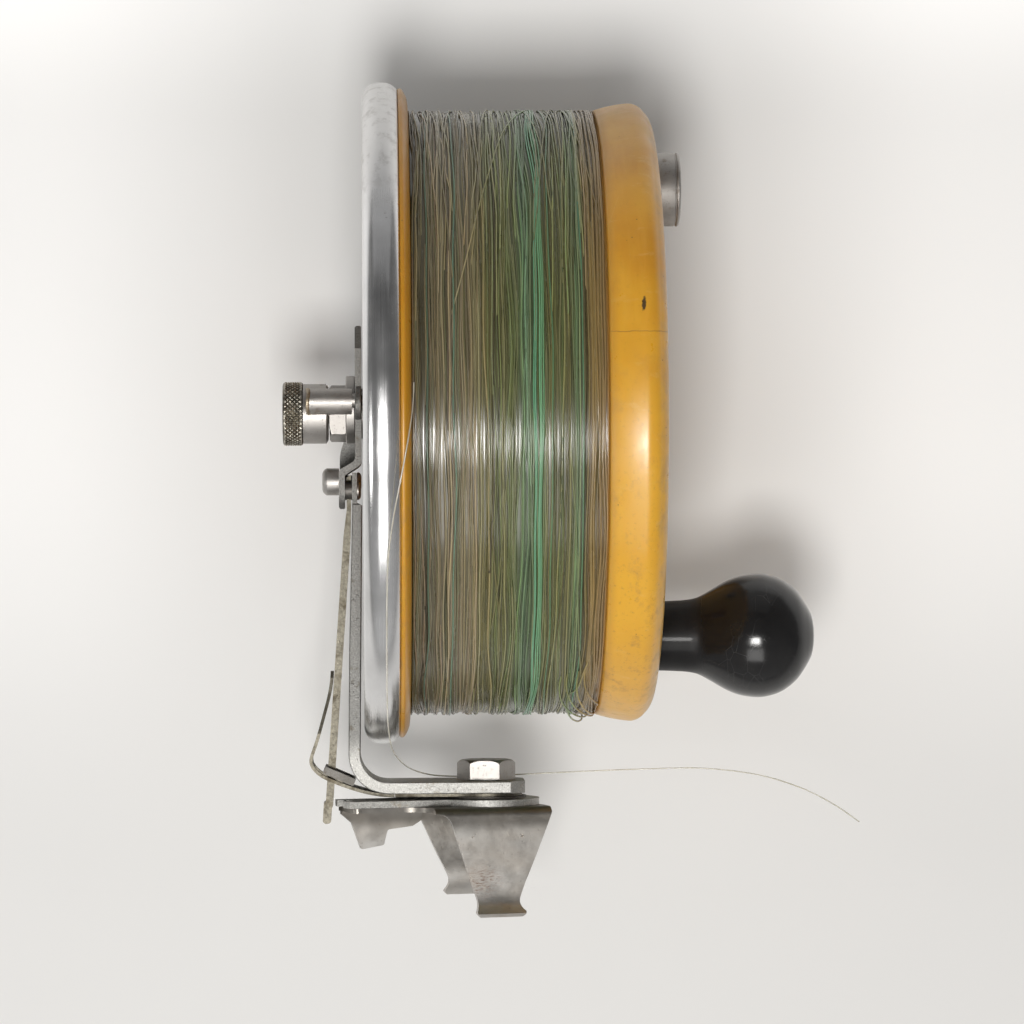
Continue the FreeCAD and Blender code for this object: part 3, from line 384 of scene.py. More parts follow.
def nylon_line(name, stranded):
    """Banded line; stranded meshes carry a tint of their own, the bed is painted darker as the shade between the
    turns.
    """
    mat = new_shader(name)
    x = mat.split(mat.mm())[0]
    waver = mat.noise(mat.round_vec(axial=0.15, radial=0, around=1.5), scale=1, detail=2)
    across = mat.add(mat.fade(x, span=(-25.8, 20.5)), mat.mul(mat.sub(waver, 0.5), 0.035))
    col = mat.ramp(across, LINE_BANDS)
    if stranded:
        tint = mat.node("ShaderNodeAttribute", attribute_name="tint").outputs["Color"]
        col = mat.multiply(mat.multiply(col, tint), (1.20, 1.20, 1.04))
    else:
        # painted shade: the bed under the turns is darkened
        col = mat.multiply(col, (0.40, 0.40, 0.34))
    # painted light: next to the +X flange the line is painted amber, for the amber that shines through
    glow = (0.215, 0.145, 0.068) if stranded else (0.22, 0.13, 0.05)
    col = mat.mix(mat.fade(x, span=(15.8, 20.2), to=(0, 0.75), smooth=True), col, glow)
    col = mat.mix(mat.fade(x, span=(19.7, 20.4), to=(0, 0.85), smooth=True), col,
                  (0.36, 0.19, 0.045))
    # lighter streaks, then darker stretches along the strands
    streaks = mat.noise(mat.round_vec(axial=1.1, radial=0.3, around=2.2), scale=1, detail=4,
                        rough=0.6)
    col = mat.mix(mat.fade(streaks, span=(0.35, 0.7), to=(0, 0.5)), col,
                  mat.multiply(col, (1.55, 1.5, 1.4)))
    along = noise_along(mat)
    col = mat.mix(mat.fade(along, span=(0.4, 0.7), to=(0, 0.3)), col,
                  mat.multiply(col, (0.55, 0.55, 0.52)))
    return nylon_surface(mat, col, along)


def nylon_tail():
    """Pale, slightly clear line for the free end; its noise runs in metres."""
    mat = new_shader("nylon_tail")
    coords = mat.node("ShaderNodeTexCoord").outputs["Object"]
    col = mat.ramp(mat.noise(coords, scale=160, detail=2),
                   [(0.35, (0.52, 0.49, 0.40)), (0.65, (0.70, 0.67, 0.58))])
    return nylon_surface(mat, col, noise_along(mat), Transmission_Weight=0.25)


def black_gloss():
    """Black plastic, lightly scratched and dusty, duller where the knob begins."""
    mat = new_shader("black_gloss")
    mm = mat.mm()
    x = mat.split(mm)[0]
    cloud = mat.noise(mm, scale=0.15, detail=4, rough=0.6)
    lines = mat.scratches((1.0, 0.5, 0.6), scale=0.35, width=0.010, seed=2.0, keep=0.54)
    dust = mat.mul(mat.dots(mm, scale=1.6, span=(0.03, 0.09)),
                   mat.patches(mm, scale=0.6, detail=1, span=(0.57, 0.62)))
    col = mat.ramp(cloud, [(0.3, (0.0075, 0.0072, 0.0078)), (0.7, (0.013, 0.0125, 0.0125))])
    col = mat.paint(col, (0.12, 0.12, 0.12), mask=lines, amount=0.35)
    col = mat.paint(col, (0.25, 0.24, 0.22), mask=dust, amount=0.5)
    matt = mat.fade(x, span=(44, 50), to=(0.26, 0), smooth=True)
    rough = mat.add(mat.fade(cloud, span=(0.3, 0.75), to=(0.13, 0.23)),
                    mat.add(mat.mul(lines, 0.25), matt))
    height = mat.sub(mat.noise(mm, scale=0.25), mat.mul(lines, 0.5))
    return mat.principled(
        Base_Color=col, Roughness=rough, IOR=1.48,
        Normal=mat.bump(height, strength=0.2, distance=0.00006),
        Specular_IOR_Level=mat.fade(x, span=(43, 50), to=(0.14, 0.40), smooth=True),
        Coat_Weight=0.08, Coat_Roughness=0.12)


def worn_metal(name, low, high, rough_span, stain=(0.16, 0.09, 0.04), stain_amount=0.5,
               stain_span=(0.60, 0.72), pit_scale=0.9, pit_amount=0.6, brush=(1.0, 1.0, 1.0),
               brush_amount=0.15, bump=0.3, extra=None):
    """Metal between two tones, brushed, stained and pitted; extra adds local wear, and on the clip a painted
    shade.
    """
    mat = new_shader(name)
    mm = mat.mm()
    cloud = mat.noise(mm, scale=0.22, detail=4, rough=0.6)
    brushed = mat.noise(mat.stretch(mm, brush), scale=2.4, detail=4, rough=0.65)
    pits = mat.mul(mat.dots(mm, scale=pit_scale, span=(0.05, 0.24)),
                   mat.patches(mm, scale=pit_scale * 0.45, rough=0.6, span=(0.44, 0.60)))
    # the shift keeps the stains clear of the cloud pattern
    stains = mat.patches(mat.vector("ADD", mm, (11.0, 3.0, 7.0)), scale=0.35, detail=5,
                         rough=0.65, span=stain_span)
    base = mat.mix(mat.fade(cloud, span=(0.3, 0.7)), low, high)
    base = mat.mix(mat.fade(brushed, span=(0.3, 0.75), to=(0, brush_amount)), base,
                   (0.9, 0.9, 0.9))
    base = mat.paint(base, stain, mask=stains, amount=stain_amount)
    base = mat.paint(base, (0.10, 0.085, 0.07), mask=pits, amount=pit_amount)
    rough = mat.fade(cloud, span=(0.3, 0.75), to=rough_span)
    rough = mat.plus(rough, stains, amount=0.18)
    rough = mat.add(rough, mat.fade(brushed, span=(0.3, 0.75), to=(-0.04, 0.08)))
    height = mat.sub(mat.mul(brushed, 0.35), pits)
    metallic = mat.sub(1.0, mat.mul(stains, 0.35 * stain_amount))
    if extra:
        base, rough, height = extra(mat, base, rough, height)
    return mat.principled(Base_Color=base, Metallic=metallic, Roughness=rough,
                          Normal=mat.bump(height, strength=bump, distance=0.00008))


def clip_wear_and_shade(mat, base, rough, height):
    """Rust-brown scuffs low on the near arm, long scratches, and painted shade under the lock plate."""
    mm = mat.mm()
    x, y, z = mat.split(mm)
    # rust fades out from an oval about x = -8, z = -116.5
    from_x = mat.math("DIVIDE", mat.add(x, 8.0), 4.2)
    from_z = mat.math("DIVIDE", mat.add(z, 116.5), 3.6)
    zone = mat.mul(mat.fade(mat.length(from_x, from_z), span=(0.4, 1.5), to=(1, 0)),
                   mat.fade(y, span=(-8, -10)))
    rust = mat.mul(zone, mat.patches(mat.stretch(mm, (0.9, 0.9, 3.2)), scale=0.9, detail=5,
                                     rough=0.7, span=(0.46, 0.62)))
    base = mat.paint(base, (0.17, 0.085, 0.055), mask=rust, amount=0.8)
    lines = mat.highest(
        mat.scratches((0.20, 0.20, 1.6), scale=0.38, width=0.02, seed=4.0, keep=0.52),
        mat.scratches((1.4, 1.4, 0.25), scale=0.30, width=0.012, seed=8.0, keep=0.56))
    base = mat.paint(base, (0.62, 0.59, 0.52), mask=lines, amount=0.45)
    warm = mat.patches(mat.stretch(mm, (0.5, 0.5, 1.1)), scale=0.12, span=(0.42, 0.72),
                       to=(0, 0.5))
    base = mat.mix(warm, base, (0.50, 0.43, 0.355))
    # painted shade: the arm is darkened just under the lock plate
    painted_shade = mat.fade(z, span=(-105.0, -101.5), to=(0, 0.72), smooth=True)
    base = mat.mix(painted_shade, base, (0.13, 0.12, 0.105))
    return base, mat.plus(rough, rust, amount=0.3), mat.plus(height, lines, amount=0.4)


def leg_wear(mat, base, rough, height):
    """Coarse grain all over; the foot of the bar is rubbed brighter than the upright."""
    mm = mat.mm()
    foot = mat.fade(mat.split(mm)[2], span=(-80, -88), smooth=True)
    # brightness 0.62 on the upright, 0.75 more on the foot
    shade = mat.math("MULTIPLY_ADD", foot, 0.75, 0.62)
    shade = mat.mul(shade, mat.patches(mm, scale=2.6, rough=0.8, span=(0.36, 0.64),
                                       to=(0.72, 1.30)))
    base = mat.multiply(base, mat.combine(shade, shade, mat.mul(shade, 0.98)))
    return base, rough, mat.plus(height, mat.noise(mm, scale=3.2, detail=2, rough=0.7),
                                 amount=0.8)


def strip_wear(mat, base, rough, height):
    """Coarse, slightly warm grain."""
    grain = mat.patches(mat.mm(), scale=1.9, detail=4, rough=0.8, span=(0.36, 0.64),
                        to=(0.60, 1.25))
    warm = mat.combine(grain, mat.mul(grain, 0.97), mat.mul(grain, 0.90))
    return mat.multiply(base, warm), rough, height


def knurl_metal():
    """Bright worn tips over dark grooves, with a paler end face."""
    mat = new_shader("knurl_metal")
    mm = mat.mm()
    radius = mat.polar()[1]
    cloud = mat.noise(mm, scale=0.5, detail=4, rough=0.6)
    tips = mat.mul(mat.fade(radius, span=(7.68, 7.98), smooth=True),
                   mat.fade(cloud, span=(0.28, 0.55), to=(0.40, 1)))
    groove_col = mat.mix(mat.fade(cloud, span=(0.35, 0.65)),
                         (0.045, 0.040, 0.030), (0.10, 0.085, 0.055))
    tip_col = mat.mix(mat.patches(mm, scale=1.1, detail=2, span=(0.4, 0.6)),
                      (0.36, 0.33, 0.28), (0.66, 0.63, 0.55))
    face_col = mat.mix(mat.fade(cloud, span=(0.3, 0.7)), (0.30, 0.28, 0.24), (0.52, 0.49, 0.43))
    col = mat.mix(tips, groove_col, tip_col)
    col = mat.paint(col, face_col, mask=mat.fade(radius, span=(6.9, 6.6)), amount=0.8)
    grain = mat.noise(mm, scale=3, detail=4, rough=0.7)
    return mat.principled(Base_Color=col, Metallic=0.92,
                          Roughness=mat.fade(cloud, span=(0.3, 0.7), to=(0.28, 0.48)),
                          Normal=mat.bump(grain, strength=0.35, distance=0.00005))


MATS = {
    "guard_metal": guard_metal(),
    "amber_plastic": amber_plastic(),
    "fishing_line": nylon_line("nylon_line", stranded=True),
    "black_plastic": black_gloss(),
    "nickel_plate": worn_metal(
        "nickel_plate", low=(0.30, 0.282, 0.262), high=(0.42, 0.40, 0.38),
        rough_span=(0.40, 0.54), stain=(0.17, 0.115, 0.06), stain_amount=0.45,
        stain_span=(0.60, 0.74), pit_scale=1.8, pit_amount=0.75, brush=(0.35, 3.0, 3.0),
        brush_amount=0.10, bump=0.5),
    "leg_steel": worn_metal(
        "leg_steel", low=(0.24, 0.236, 0.228), high=(0.37, 0.365, 0.355),
        rough_span=(0.50, 0.62), stain=(0.23, 0.17, 0.07), stain_amount=0.5,
        stain_span=(0.60, 0.74), pit_scale=1.5, pit_amount=0.75, brush=(0.5, 3.0, 0.5),
        brush_amount=0.06, bump=0.8, extra=leg_wear),
    "clip_steel": worn_metal(
        "clip_steel", low=(0.47, 0.45, 0.42), high=(0.58, 0.56, 0.53),
        rough_span=(0.36, 0.50), stain=(0.20, 0.13, 0.08), stain_amount=0.35,
        stain_span=(0.62, 0.75), pit_scale=0.8, pit_amount=0.35, brush=(0.4, 0.4, 2.4),
        brush_amount=0.06, bump=0.22, extra=clip_wear_and_shade),
    "spring_steel": worn_metal(
        "spring_steel", low=(0.10, 0.094, 0.077), high=(0.185, 0.175, 0.15),
        rough_span=(0.42, 0.58), stain=(0.15, 0.115, 0.065), stain_amount=0.45,
        stain_span=(0.52, 0.74), pit_scale=1.6, pit_amount=0.6, brush=(2.0, 2.0, 0.4),
        brush_amount=0.06, bump=0.5, extra=strip_wear),
    "dark_steel": worn_metal(
        "dark_steel", low=(0.085, 0.078, 0.068), high=(0.15, 0.138, 0.12),
        rough_span=(0.50, 0.68), stain=(0.10, 0.05, 0.02), stain_amount=0.6, pit_scale=1.2,
        pit_amount=0.5),
    "bronze": worn_metal(
        "bronze", low=(0.25, 0.20, 0.13), high=(0.40, 0.33, 0.23), rough_span=(0.40, 0.55),
        stain=(0.10, 0.06, 0.03), stain_amount=0.6),
    "brass_screw": worn_metal(
        "brass_screw", low=(0.48, 0.34, 0.13), high=(0.68, 0.52, 0.25),
        rough_span=(0.22, 0.38), stain=(0.14, 0.09, 0.03), stain_amount=0.6),
    "knurl_metal": knurl_metal(),
}
AMBER = MATS["amber_plastic"]

for node_name, ob in NODES.items():
    ob.data.materials.clear()
    ob.data.materials.append(MATS[SLOTS[node_name]])
    for polygon in ob.data.polygons:
        polygon.material_index = 0


# ================================================================ outlines
def arc_points(start, middle, end, steps):
    """Points after start up to end, on the circle through all three."""
    (x1, y1), (x2, y2), (x3, y3) = start, middle, end
    sq1, sq2, sq3 = x1 * x1 + y1 * y1, x2 * x2 + y2 * y2, x3 * x3 + y3 * y3
    area = 2 * (x1 * (y2 - y3) + x2 * (y3 - y1) + x3 * (y1 - y2))
    x = (sq1 * (y2 - y3) + sq2 * (y3 - y1) + sq3 * (y1 - y2)) / area
    y = (sq1 * (x3 - x2) + sq2 * (x1 - x3) + sq3 * (x2 - x1)) / area
    radius = math.hypot(x1 - x, y1 - y)
    angle1 = math.atan2(y1 - y, x1 - x)
    angle2 = math.atan2(y2 - y, x2 - x)
    angle3 = math.atan2(y3 - y, x3 - x)
    if (angle2 - angle1) % TURN <= (angle3 - angle1) % TURN:
        sweep = (angle3 - angle1) % TURN
    else:
        sweep = -((angle1 - angle3) % TURN)
    return [(x + radius * math.cos(angle1 + sweep * i / steps),
             y + radius * math.sin(angle1 + sweep * i / steps)) for i in range(1, steps + 1)]


def section(items, steps):
    """Outline of (x, r) points and ("arc", point on the way, end point) items."""
    points = [items[0]]
    for item in items[1:]:
        if item[0] == "arc":
            points += arc_points(points[-1], item[1], item[2], steps)
        else:
            points.append(item)
    return points


def ease(points, width, limit=25.0):
    """Chamfer each corner that turns by more than limit degrees, in two short steps."""
    out = []
    for i, here in enumerate(points):
        corner = np.array(here)
        back = np.array(points[i - 1]) - corner
        ahead = np.array(points[(i + 1) % len(points)]) - corner
        back_len, ahead_len = np.linalg.norm(back), np.linalg.norm(ahead)
        if back_len < 1e-9 or ahead_len < 1e-9:
            continue
        cosine = float(np.dot(back, ahead) / back_len / ahead_len)
        inside = math.degrees(math.acos(max(-1, min(1, cosine))))
        if 180 - inside < limit or corner[1] < 1e-6:
            out.append(tuple(corner))
            continue
        reach = min(width, back_len * 0.45, ahead_len * 0.45)
        before = corner + back / back_len * reach
        after = corner + ahead / ahead_len * reach
        middle = (before + after) / 4 + corner / 2
        out += [tuple(before), tuple(middle), tuple(after)]
    return out


def spline(points, steps):
    """Catmull-Rom curve through the points."""
    points = np.array(points, float)
    ends = np.vstack([2 * points[0] - points[1], points, 2 * points[-1] - points[-2]])
    out = [tuple(points[0])]
    for p0, p1, p2, p3 in zip(ends, ends[1:], ends[2:], ends[3:]):
        for j in range(1, steps + 1):
            t = j / steps
            out.append(tuple(0.5 * (2 * p1 + (p2 - p0) * t
                                    + (2 * p0 - 5 * p1 + 4 * p2 - p3) * t * t
                                    + (3 * p1 - p0 - 3 * p2 + p3) * t ** 3)))
    return out


# ================================================================ solids
def smooth_by_angle(mesh, degrees):
    mesh.polygons.foreach_set("use_smooth", [True] * len(mesh.polygons))
    mesh.set_sharp_from_angle(angle=math.radians(degrees))


def link_object(name, data):
    ob = bpy.data.objects.new(name, data)
    scene.collection.objects.link(ob)
    return ob


def register(ob, part, replaces=None):
    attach(ob, part)
    if replaces:
        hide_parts(replaces)


def mesh_object(name, verts, faces, material, smooth=35.0):
    mesh = bpy.data.meshes.new(name)
    mesh.from_pydata([tuple(v) for v in verts], [], [tuple(f) for f in faces])
    mesh.validate()
    mesh.update()
    ob = link_object(name, mesh)
    mesh.materials.append(material)
    bm = bmesh.new()
    bm.from_mesh(mesh)
    bmesh.ops.remove_doubles(bm, verts=bm.verts, dist=1e-7)
    bmesh.ops.recalc_face_normals(bm, faces=bm.faces)
    bm.to_mesh(mesh)
    bm.free()
    smooth_by_angle(mesh, smooth)
    return ob


def lathe(name, outline, material, segments, height=0.0, smooth=28.0, relief=None):
    """Closed (x, r) outline turned about an axis along X at z = height.

    relief(x, r, angle) is a depth taken off the radius."""
    verts, rings = [], []
    for x, r in outline:
        if r < 1e-6:
            rings.append([len(verts)] * segments)
            verts.append(point(x, 0, height))
            continue
        rings.append(range(len(verts), len(verts) + segments))
        for k in range(segments):
            angle = TURN * k / segments
            radius = r - relief(x, r, angle) if relief else r
            verts.append(point(x, radius * math.cos(angle), height + radius * math.sin(angle)))
    faces = []
    for ring, following in zip(rings, rings[1:] + rings[:1]):
        for k in range(segments):
            after = (k + 1) % segments
            # on the axis corners fall together: triangles there, and no face between two
            face = list(dict.fromkeys((ring[k], ring[after], following[after], following[k])))
            if len(face) >= 3:
                faces.append(face)
    return mesh_object(name, verts, faces, material, smooth)


def rod(name, x0, x1, radius, y, z, segments=48):
    """Plain round bar parallel to X."""
    verts, faces = [], []
    for k in range(segments):
        angle = TURN * k / segments
        for x in (x0, x1):
            verts.append(point(x, y + radius * math.cos(angle), z + radius * math.sin(angle)))
        here, after = 2 * k, 2 * ((k + 1) % segments)
        faces.append((here, after, after + 1, here + 1))
    faces.append(tuple(2 * k for k in range(segments))[::-1])
    faces.append(tuple(2 * k + 1 for k in range(segments)))
    return mesh_object(name, verts, faces, AMBER)


def bake(ob):
    """Apply an object's modifiers to its mesh."""
    bpy.context.view_layer.update()
    depsgraph = bpy.context.evaluated_depsgraph_get()
    mesh = bpy.data.meshes.new_from_object(ob.evaluated_get(depsgraph))
    old = ob.data
    ob.modifiers.clear()
    ob.data = mesh
    bpy.data.meshes.remove(old)


def cut(ob, cutters, smooth=28.0):
    for cutter in cutters:
        boolean = ob.modifiers.new("cut", "BOOLEAN")
        boolean.operation = "DIFFERENCE"
        boolean.solver = "EXACT"
        boolean.object = cutter
    bake(ob)
    for cutter in cutters:
        bpy.data.objects.remove(cutter)
    smooth_by_angle(ob.data, smooth)


def join(name, pieces, smooth=28.0):
    """Several mesh objects as one."""
    bm = bmesh.new()
    for piece in pieces:
        bm.from_mesh(piece.data)
    mesh = bpy.data.meshes.new(name)
    bm.to_mesh(mesh)
    bm.free()
    mesh.materials.append(pieces[0].data.materials[0])
    for piece in pieces:
        bpy.data.objects.remove(piece)
    ob = link_object(name, mesh)
    smooth_by_angle(mesh, smooth)
    return ob


def make_guard():
    """The pressed ring, turned finely so that its polish reads true."""
    outline = section([
        (GUARD_LIP_X, 81.0), ("arc", (-29.9, 82.3), (-32.3, GUARD_R)),
        ("arc", (-35.65, 81.75), (GUARD_X0, 78.6)), (GUARD_X0, 70.2),
        ("arc", (-36.25, 68.0), (-34.2, 66.9)), ("arc", (-30.6, 66.2), (-29.55, 64.6)),
        (-29.55, DRUM_BORE + 0.2), (GUARD_LIP_X, DRUM_BORE + 0.2), (GUARD_LIP_X, 65.2),
        ("arc", (-30.0, 67.3), (-34.0, 68.1)),
        ("arc", (-35.4, 68.9), (GUARD_X0 + GUARD_WALL, 70.4)),
        (GUARD_X0 + GUARD_WALL, 78.4), ("arc", (-34.85, 80.8), (-32.2, GUARD_R - GUARD_WALL)),
        ("arc", (-30.4, 81.2), (GUARD_LIP_X, 79.6))], steps=12)
    guard = lathe("rim_guard_shell", ease(outline, 0.18), MATS["guard_metal"], segments=288)
    register(guard, "spool", replaces="rim_guard")


def make_spool_shell():
    """Both flanges, the drum and the web, with four round holes through the web."""
    outline = section([
        (FLANGE_X0, DRUM_BORE), (FLANGE_X0, FLANGE_R - 0.3), (FLANGE_X0 + 0.3, FLANGE_R),
        (-27.35, FLANGE_R), ("arc", (-26.25, 79.6), (FLANGE_X1, 76.2)), (FLANGE_X1, DRUM_R),
        (DRUM_X1, DRUM_R), (DRUM_X1, 74.9), ("arc", (20.75, 75.65), (21.4, 76.0)),
        ("arc", (25.4, 77.0), (28.9, 77.5)), ("arc", (31.2, 77.1), (32.8, 75.75)),
        ("arc", (33.95, 74.3), (34.5, 72.6)), (34.5, 70.6), ("arc", (34.1, 69.5), (33.1, 68.7)),
        ("arc", (30.2, 66.0), (WEB_X1, 62.4)), (WEB_X1, 61.6), (WEB_X1, 60.8),
        (WEB_X1, HUB_BORE), (WEB_X0, HUB_BORE), (WEB_X0, 54.3), (WEB_X0, 54.9), (WEB_X0, 55.5),
        ("arc", (24.12, 57.62), (22.0, DRUM_BORE))], steps=12)
    shell = lathe("spool_shell", ease(outline, 0.3), AMBER, segments=288)
    holes = []
    for degrees in (60, 120, 240, 300):
        angle = math.radians(degrees)
        holes.append(rod("hole%d" % degrees, 22, 32, HOLE_R, HOLE_PITCH_R * math.cos(angle),
                         HOLE_PITCH_R * math.sin(angle)))
    cut(shell, holes)
    register(shell, "spool", replaces="spool_moulding")


def make_rib(degrees):
    """A flat rib inside the drum, from the hub out, turned about the spindle axis."""
    cosine, sine = math.cos(math.radians(degrees)), math.sin(math.radians(degrees))
    # x, distance from the axis
    outline = [(-22.0, 13.4), (-14.0, 58.8), (25.1, 58.8), (25.1, 13.4)]
    verts = [point(x, y * cosine - z * sine, y * sine + z * cosine)
             for y in (-RIB_HALF, RIB_HALF) for x, z in outline]
    faces = [(0, 1, 2, 3), (7, 6, 5, 4), (0, 4, 5, 1), (1, 5, 6, 2), (2, 6, 7, 3), (3, 7, 4, 0)]
    rib = mesh_object("rib%d" % degrees, verts, faces, AMBER)
    bevel = rib.modifiers.new("bevel", "BEVEL")
    bevel.width = 0.0003
    bevel.segments = 2
    bake(rib)
    return rib


def make_spool_core():
    """Hub, bosses and ribs."""
    hub = section([(-35.2, HUB_BORE), (-35.2, HUB_R), (21.0, HUB_R),
                   ("arc", (22.2, 15.4), (WEB_X0, 19.0)), (WEB_X0, HUB_BORE)], steps=8)
    # (x, r) outline, chamfer, segments, height
    turnings = [
        (hub, 0.3, 96, 0.0),
        ([(28.95, HUB_BORE), (28.95, HUB_R), (29.4, HUB_R), (29.4, HUB_BORE)], 0.12, 96, 0.0),
        ([(18.2, 4.0), (18.2, 8.1), (25.02, 8.1), (25.02, 4.0)], 0.25, 72, KNOB_Z),
        ([(28.9, 4.0), (28.9, 11.0), (34.5, 10.4), (34.5, 4.0)], 0.5, 72, KNOB_Z),
        ([(28.9, 2.6), (28.9, 10.6), (34.5, 10.0), (34.5, 2.6)], 0.5, 72, WEIGHT_Z)]
    pieces = [lathe("turning%d" % i, ease(outline, chamfer), AMBER, segments, height)
              for i, (outline, chamfer, segments, height) in enumerate(turnings)]
    pieces += [make_rib(30 + 60 * k) for k in range(6)]
    register(join("spool_core", pieces), "spool", replaces="spool_moulding")


def make_handle():
    """The black knob with the cap in its +X end, and the counterweight opposite."""
    belly = spline([(42.7, 8.94), (45.2, 9.24), (47.3, 9.86), (50.15, 11.45), (54.0, 13.65),
                    (57.5, 15.0), (61.4, 15.56), (64.5, 15.3), (68.0, 14.1), (71.5, 11.5),
                    (74.0, 8.1), (75.45, 5.5)], steps=6)
    outline = [(36.0, 5.5), (36.0, 7.4), (35.1, 7.4), (35.1, 8.35), (35.35, 8.62),
               (36.4, 8.66)] + belly + [(73.6, 5.45), (73.6, 5.3), (70.0, 5.3), (70.0, 5.5)]
    knob = lathe("knob_shell", ease(outline, 0.12, limit=40), MATS["black_plastic"],
                 segments=160, height=KNOB_Z, smooth=30)
    register(knob, "handle", replaces="handle_knob")

    outline = section([(73.65, 0), (73.65, 5.36), (75.36, 5.36), (75.55, 5.0),
                       ("arc", (76.0, 3.0), (76.15, 0.9)), (76.15, 0)], steps=8)
    cap = lathe("cap_shell", outline, MATS["black_plastic"], segments=96, height=KNOB_Z,
                smooth=35)
    register(cap, "handle", replaces="handle_cap")

    outline = section([(34.55, 0), (34.55, 9.25), (41.35, 9.25), (41.5, 8.95), (41.75, 8.95),
                       (41.9, 9.25), (42.3, 9.25), (42.7, 8.85), (42.7, 5.2),
                       ("arc", (42.35, 4.0), (41.9, 3.6)), (41.9, 0)], steps=6)
    weight = lathe("counterweight_shell", ease(outline, 0.12), MATS["nickel_plate"],
                   segments=128, height=WEIGHT_Z, smooth=30)
    register(weight, "spool", replaces="counterweight")


def knurl_depth(x, r, angle):
    """Crossed grooves that leave diamonds, fading out at both ends."""
    if r <= 7.6:
        return 0.0
    grooves_round, pitch, depth, run_out = 42, 1.18, 0.38, 0.3
    fade = (max(0.0, min(1.0, (x + 56.75) / run_out))
            * max(0.0, min(1.0, (-52.45 - x) / run_out)))
    around = angle * grooves_round / TURN
    along = (x + 57.0) / pitch
    rising = abs(((around + along) % 1.0) - 0.5) * 2
    falling = abs(((around - along) % 1.0) - 0.5) * 2
    return depth * fade * (1 - min(rising, falling)) ** 1.2


def make_check_cap():
    steps, segments = ((40, 336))
    face = section([(CAP_X0, 0.0), (CAP_X0, 3.0), (CAP_X0, 5.6), (CAP_X0 + 0.12, 6.2),
                    (CAP_X0, 6.7), (CAP_X0, 7.2), ("arc", (-56.95, 7.8), (KNURL_X0, CAP_R))],
                   steps=5)
    side = [(KNURL_X0 + (i + 1) * ((KNURL_X1 - KNURL_X0) / steps), CAP_R) for i in range(steps)]
    rim = arc_points((KNURL_X1, CAP_R), (-52.37, 7.85), (CAP_X1, 7.3), 5)
    recess = [(CAP_X1, 6.02), (-55.6, 6.02), (-55.6, 0.0)]
    cap = lathe("knurled_cap", face + side + rim + recess, MATS["knurl_metal"], segments,
                smooth=40, relief=knurl_depth)
    register(cap, "check", replaces="check_head")


def make_braze():
    """Brown braze fillet where the side pin meets the sleeve, bent and moved into place."""
    pin_y, pin_z = -8.5, 2.75
    outline = [(-51.22, 0.0), (-51.22, 3.26), (-51.0, 3.40), (-50.6, 3.36), (-50.3, 3.26),
               (-50.3, 0.0)]
    braze = lathe("pin_braze", ease(outline, 0.06), MATS["bronze"], segments=48)
    for vert in braze.data.vertices:
        x, y, z = (vert.co - ORIGIN) * 1000
        bend = 0.35 * math.sin(3.1 * math.atan2(z, y) + 0.6)
        vert.co = point(x + bend * (math.hypot(y, z) / 3.6) * 0.5, pin_y + y, pin_z + z)
    register(braze, "check")


def finish_cad_pieces():
    """Smooth shading for the CAD pieces still shown, and eased edges on the metal ones."""
    bevelled = ("leg_bar", "back_bracket", "lock_plate", "rod_clip", "latch_strip",
                "latch_spring", "latch_spring_root", "spindle_nut", "spring_pads",
                "pivot_bolt", "front_nut", "handle_nut")
    thin = ("latch_strip", "latch_spring")
    for name, ob in NODES.items():
        if ob.hide_render:
            continue
        smooth_by_angle(ob.data, 22 if name == "rod_clip" or name in thin else 30)
        if name in bevelled:
            bevel = ob.modifiers.new("edge", "BEVEL")
            bevel.width = 0.00012 if name in thin else 0.00022
            bevel.segments = 2
            bevel.limit_method = "ANGLE"
            bevel.angle_limit = math.radians(38)
            bevel.harden_normals = True
            bevel.use_clamp_overlap = True


make_guard()
make_spool_shell()
make_spool_core()
make_handle()
make_check_cap()
make_braze()
finish_cad_pieces()


# ================================================================= the line
def unit(vectors):
    return vectors / (np.linalg.norm(vectors, axis=1)[:, None] + 1e-12)


def path_frame(path):
    """Points, tangents and rough normals of a path.

    A path has "points", or "x" and "radius" over "angle", measured from -Y upward."""
    if "points" in path:
        points = np.asarray(path["points"], float)
        tangents = unit(np.gradient(points, axis=0))
        normals = unit(np.cross(tangents, np.array([[0.21, 0.35, 0.91]])))
        return points, tangents, normals
    angle, x, radius = path["angle"], path["x"], path["radius"]
    cosine, sine = np.cos(angle), np.sin(angle)
    points = np.stack([x, -radius * cosine, radius * sine], 1)
    normals = np.stack([np.zeros_like(angle), -cosine, sine], 1)
    if path.get("closed"):
        tangents = np.roll(points, -1, 0) - np.roll(points, 1, 0)
    else:
        tangents = np.gradient(points, axis=0)
    return points, unit(tangents), normals


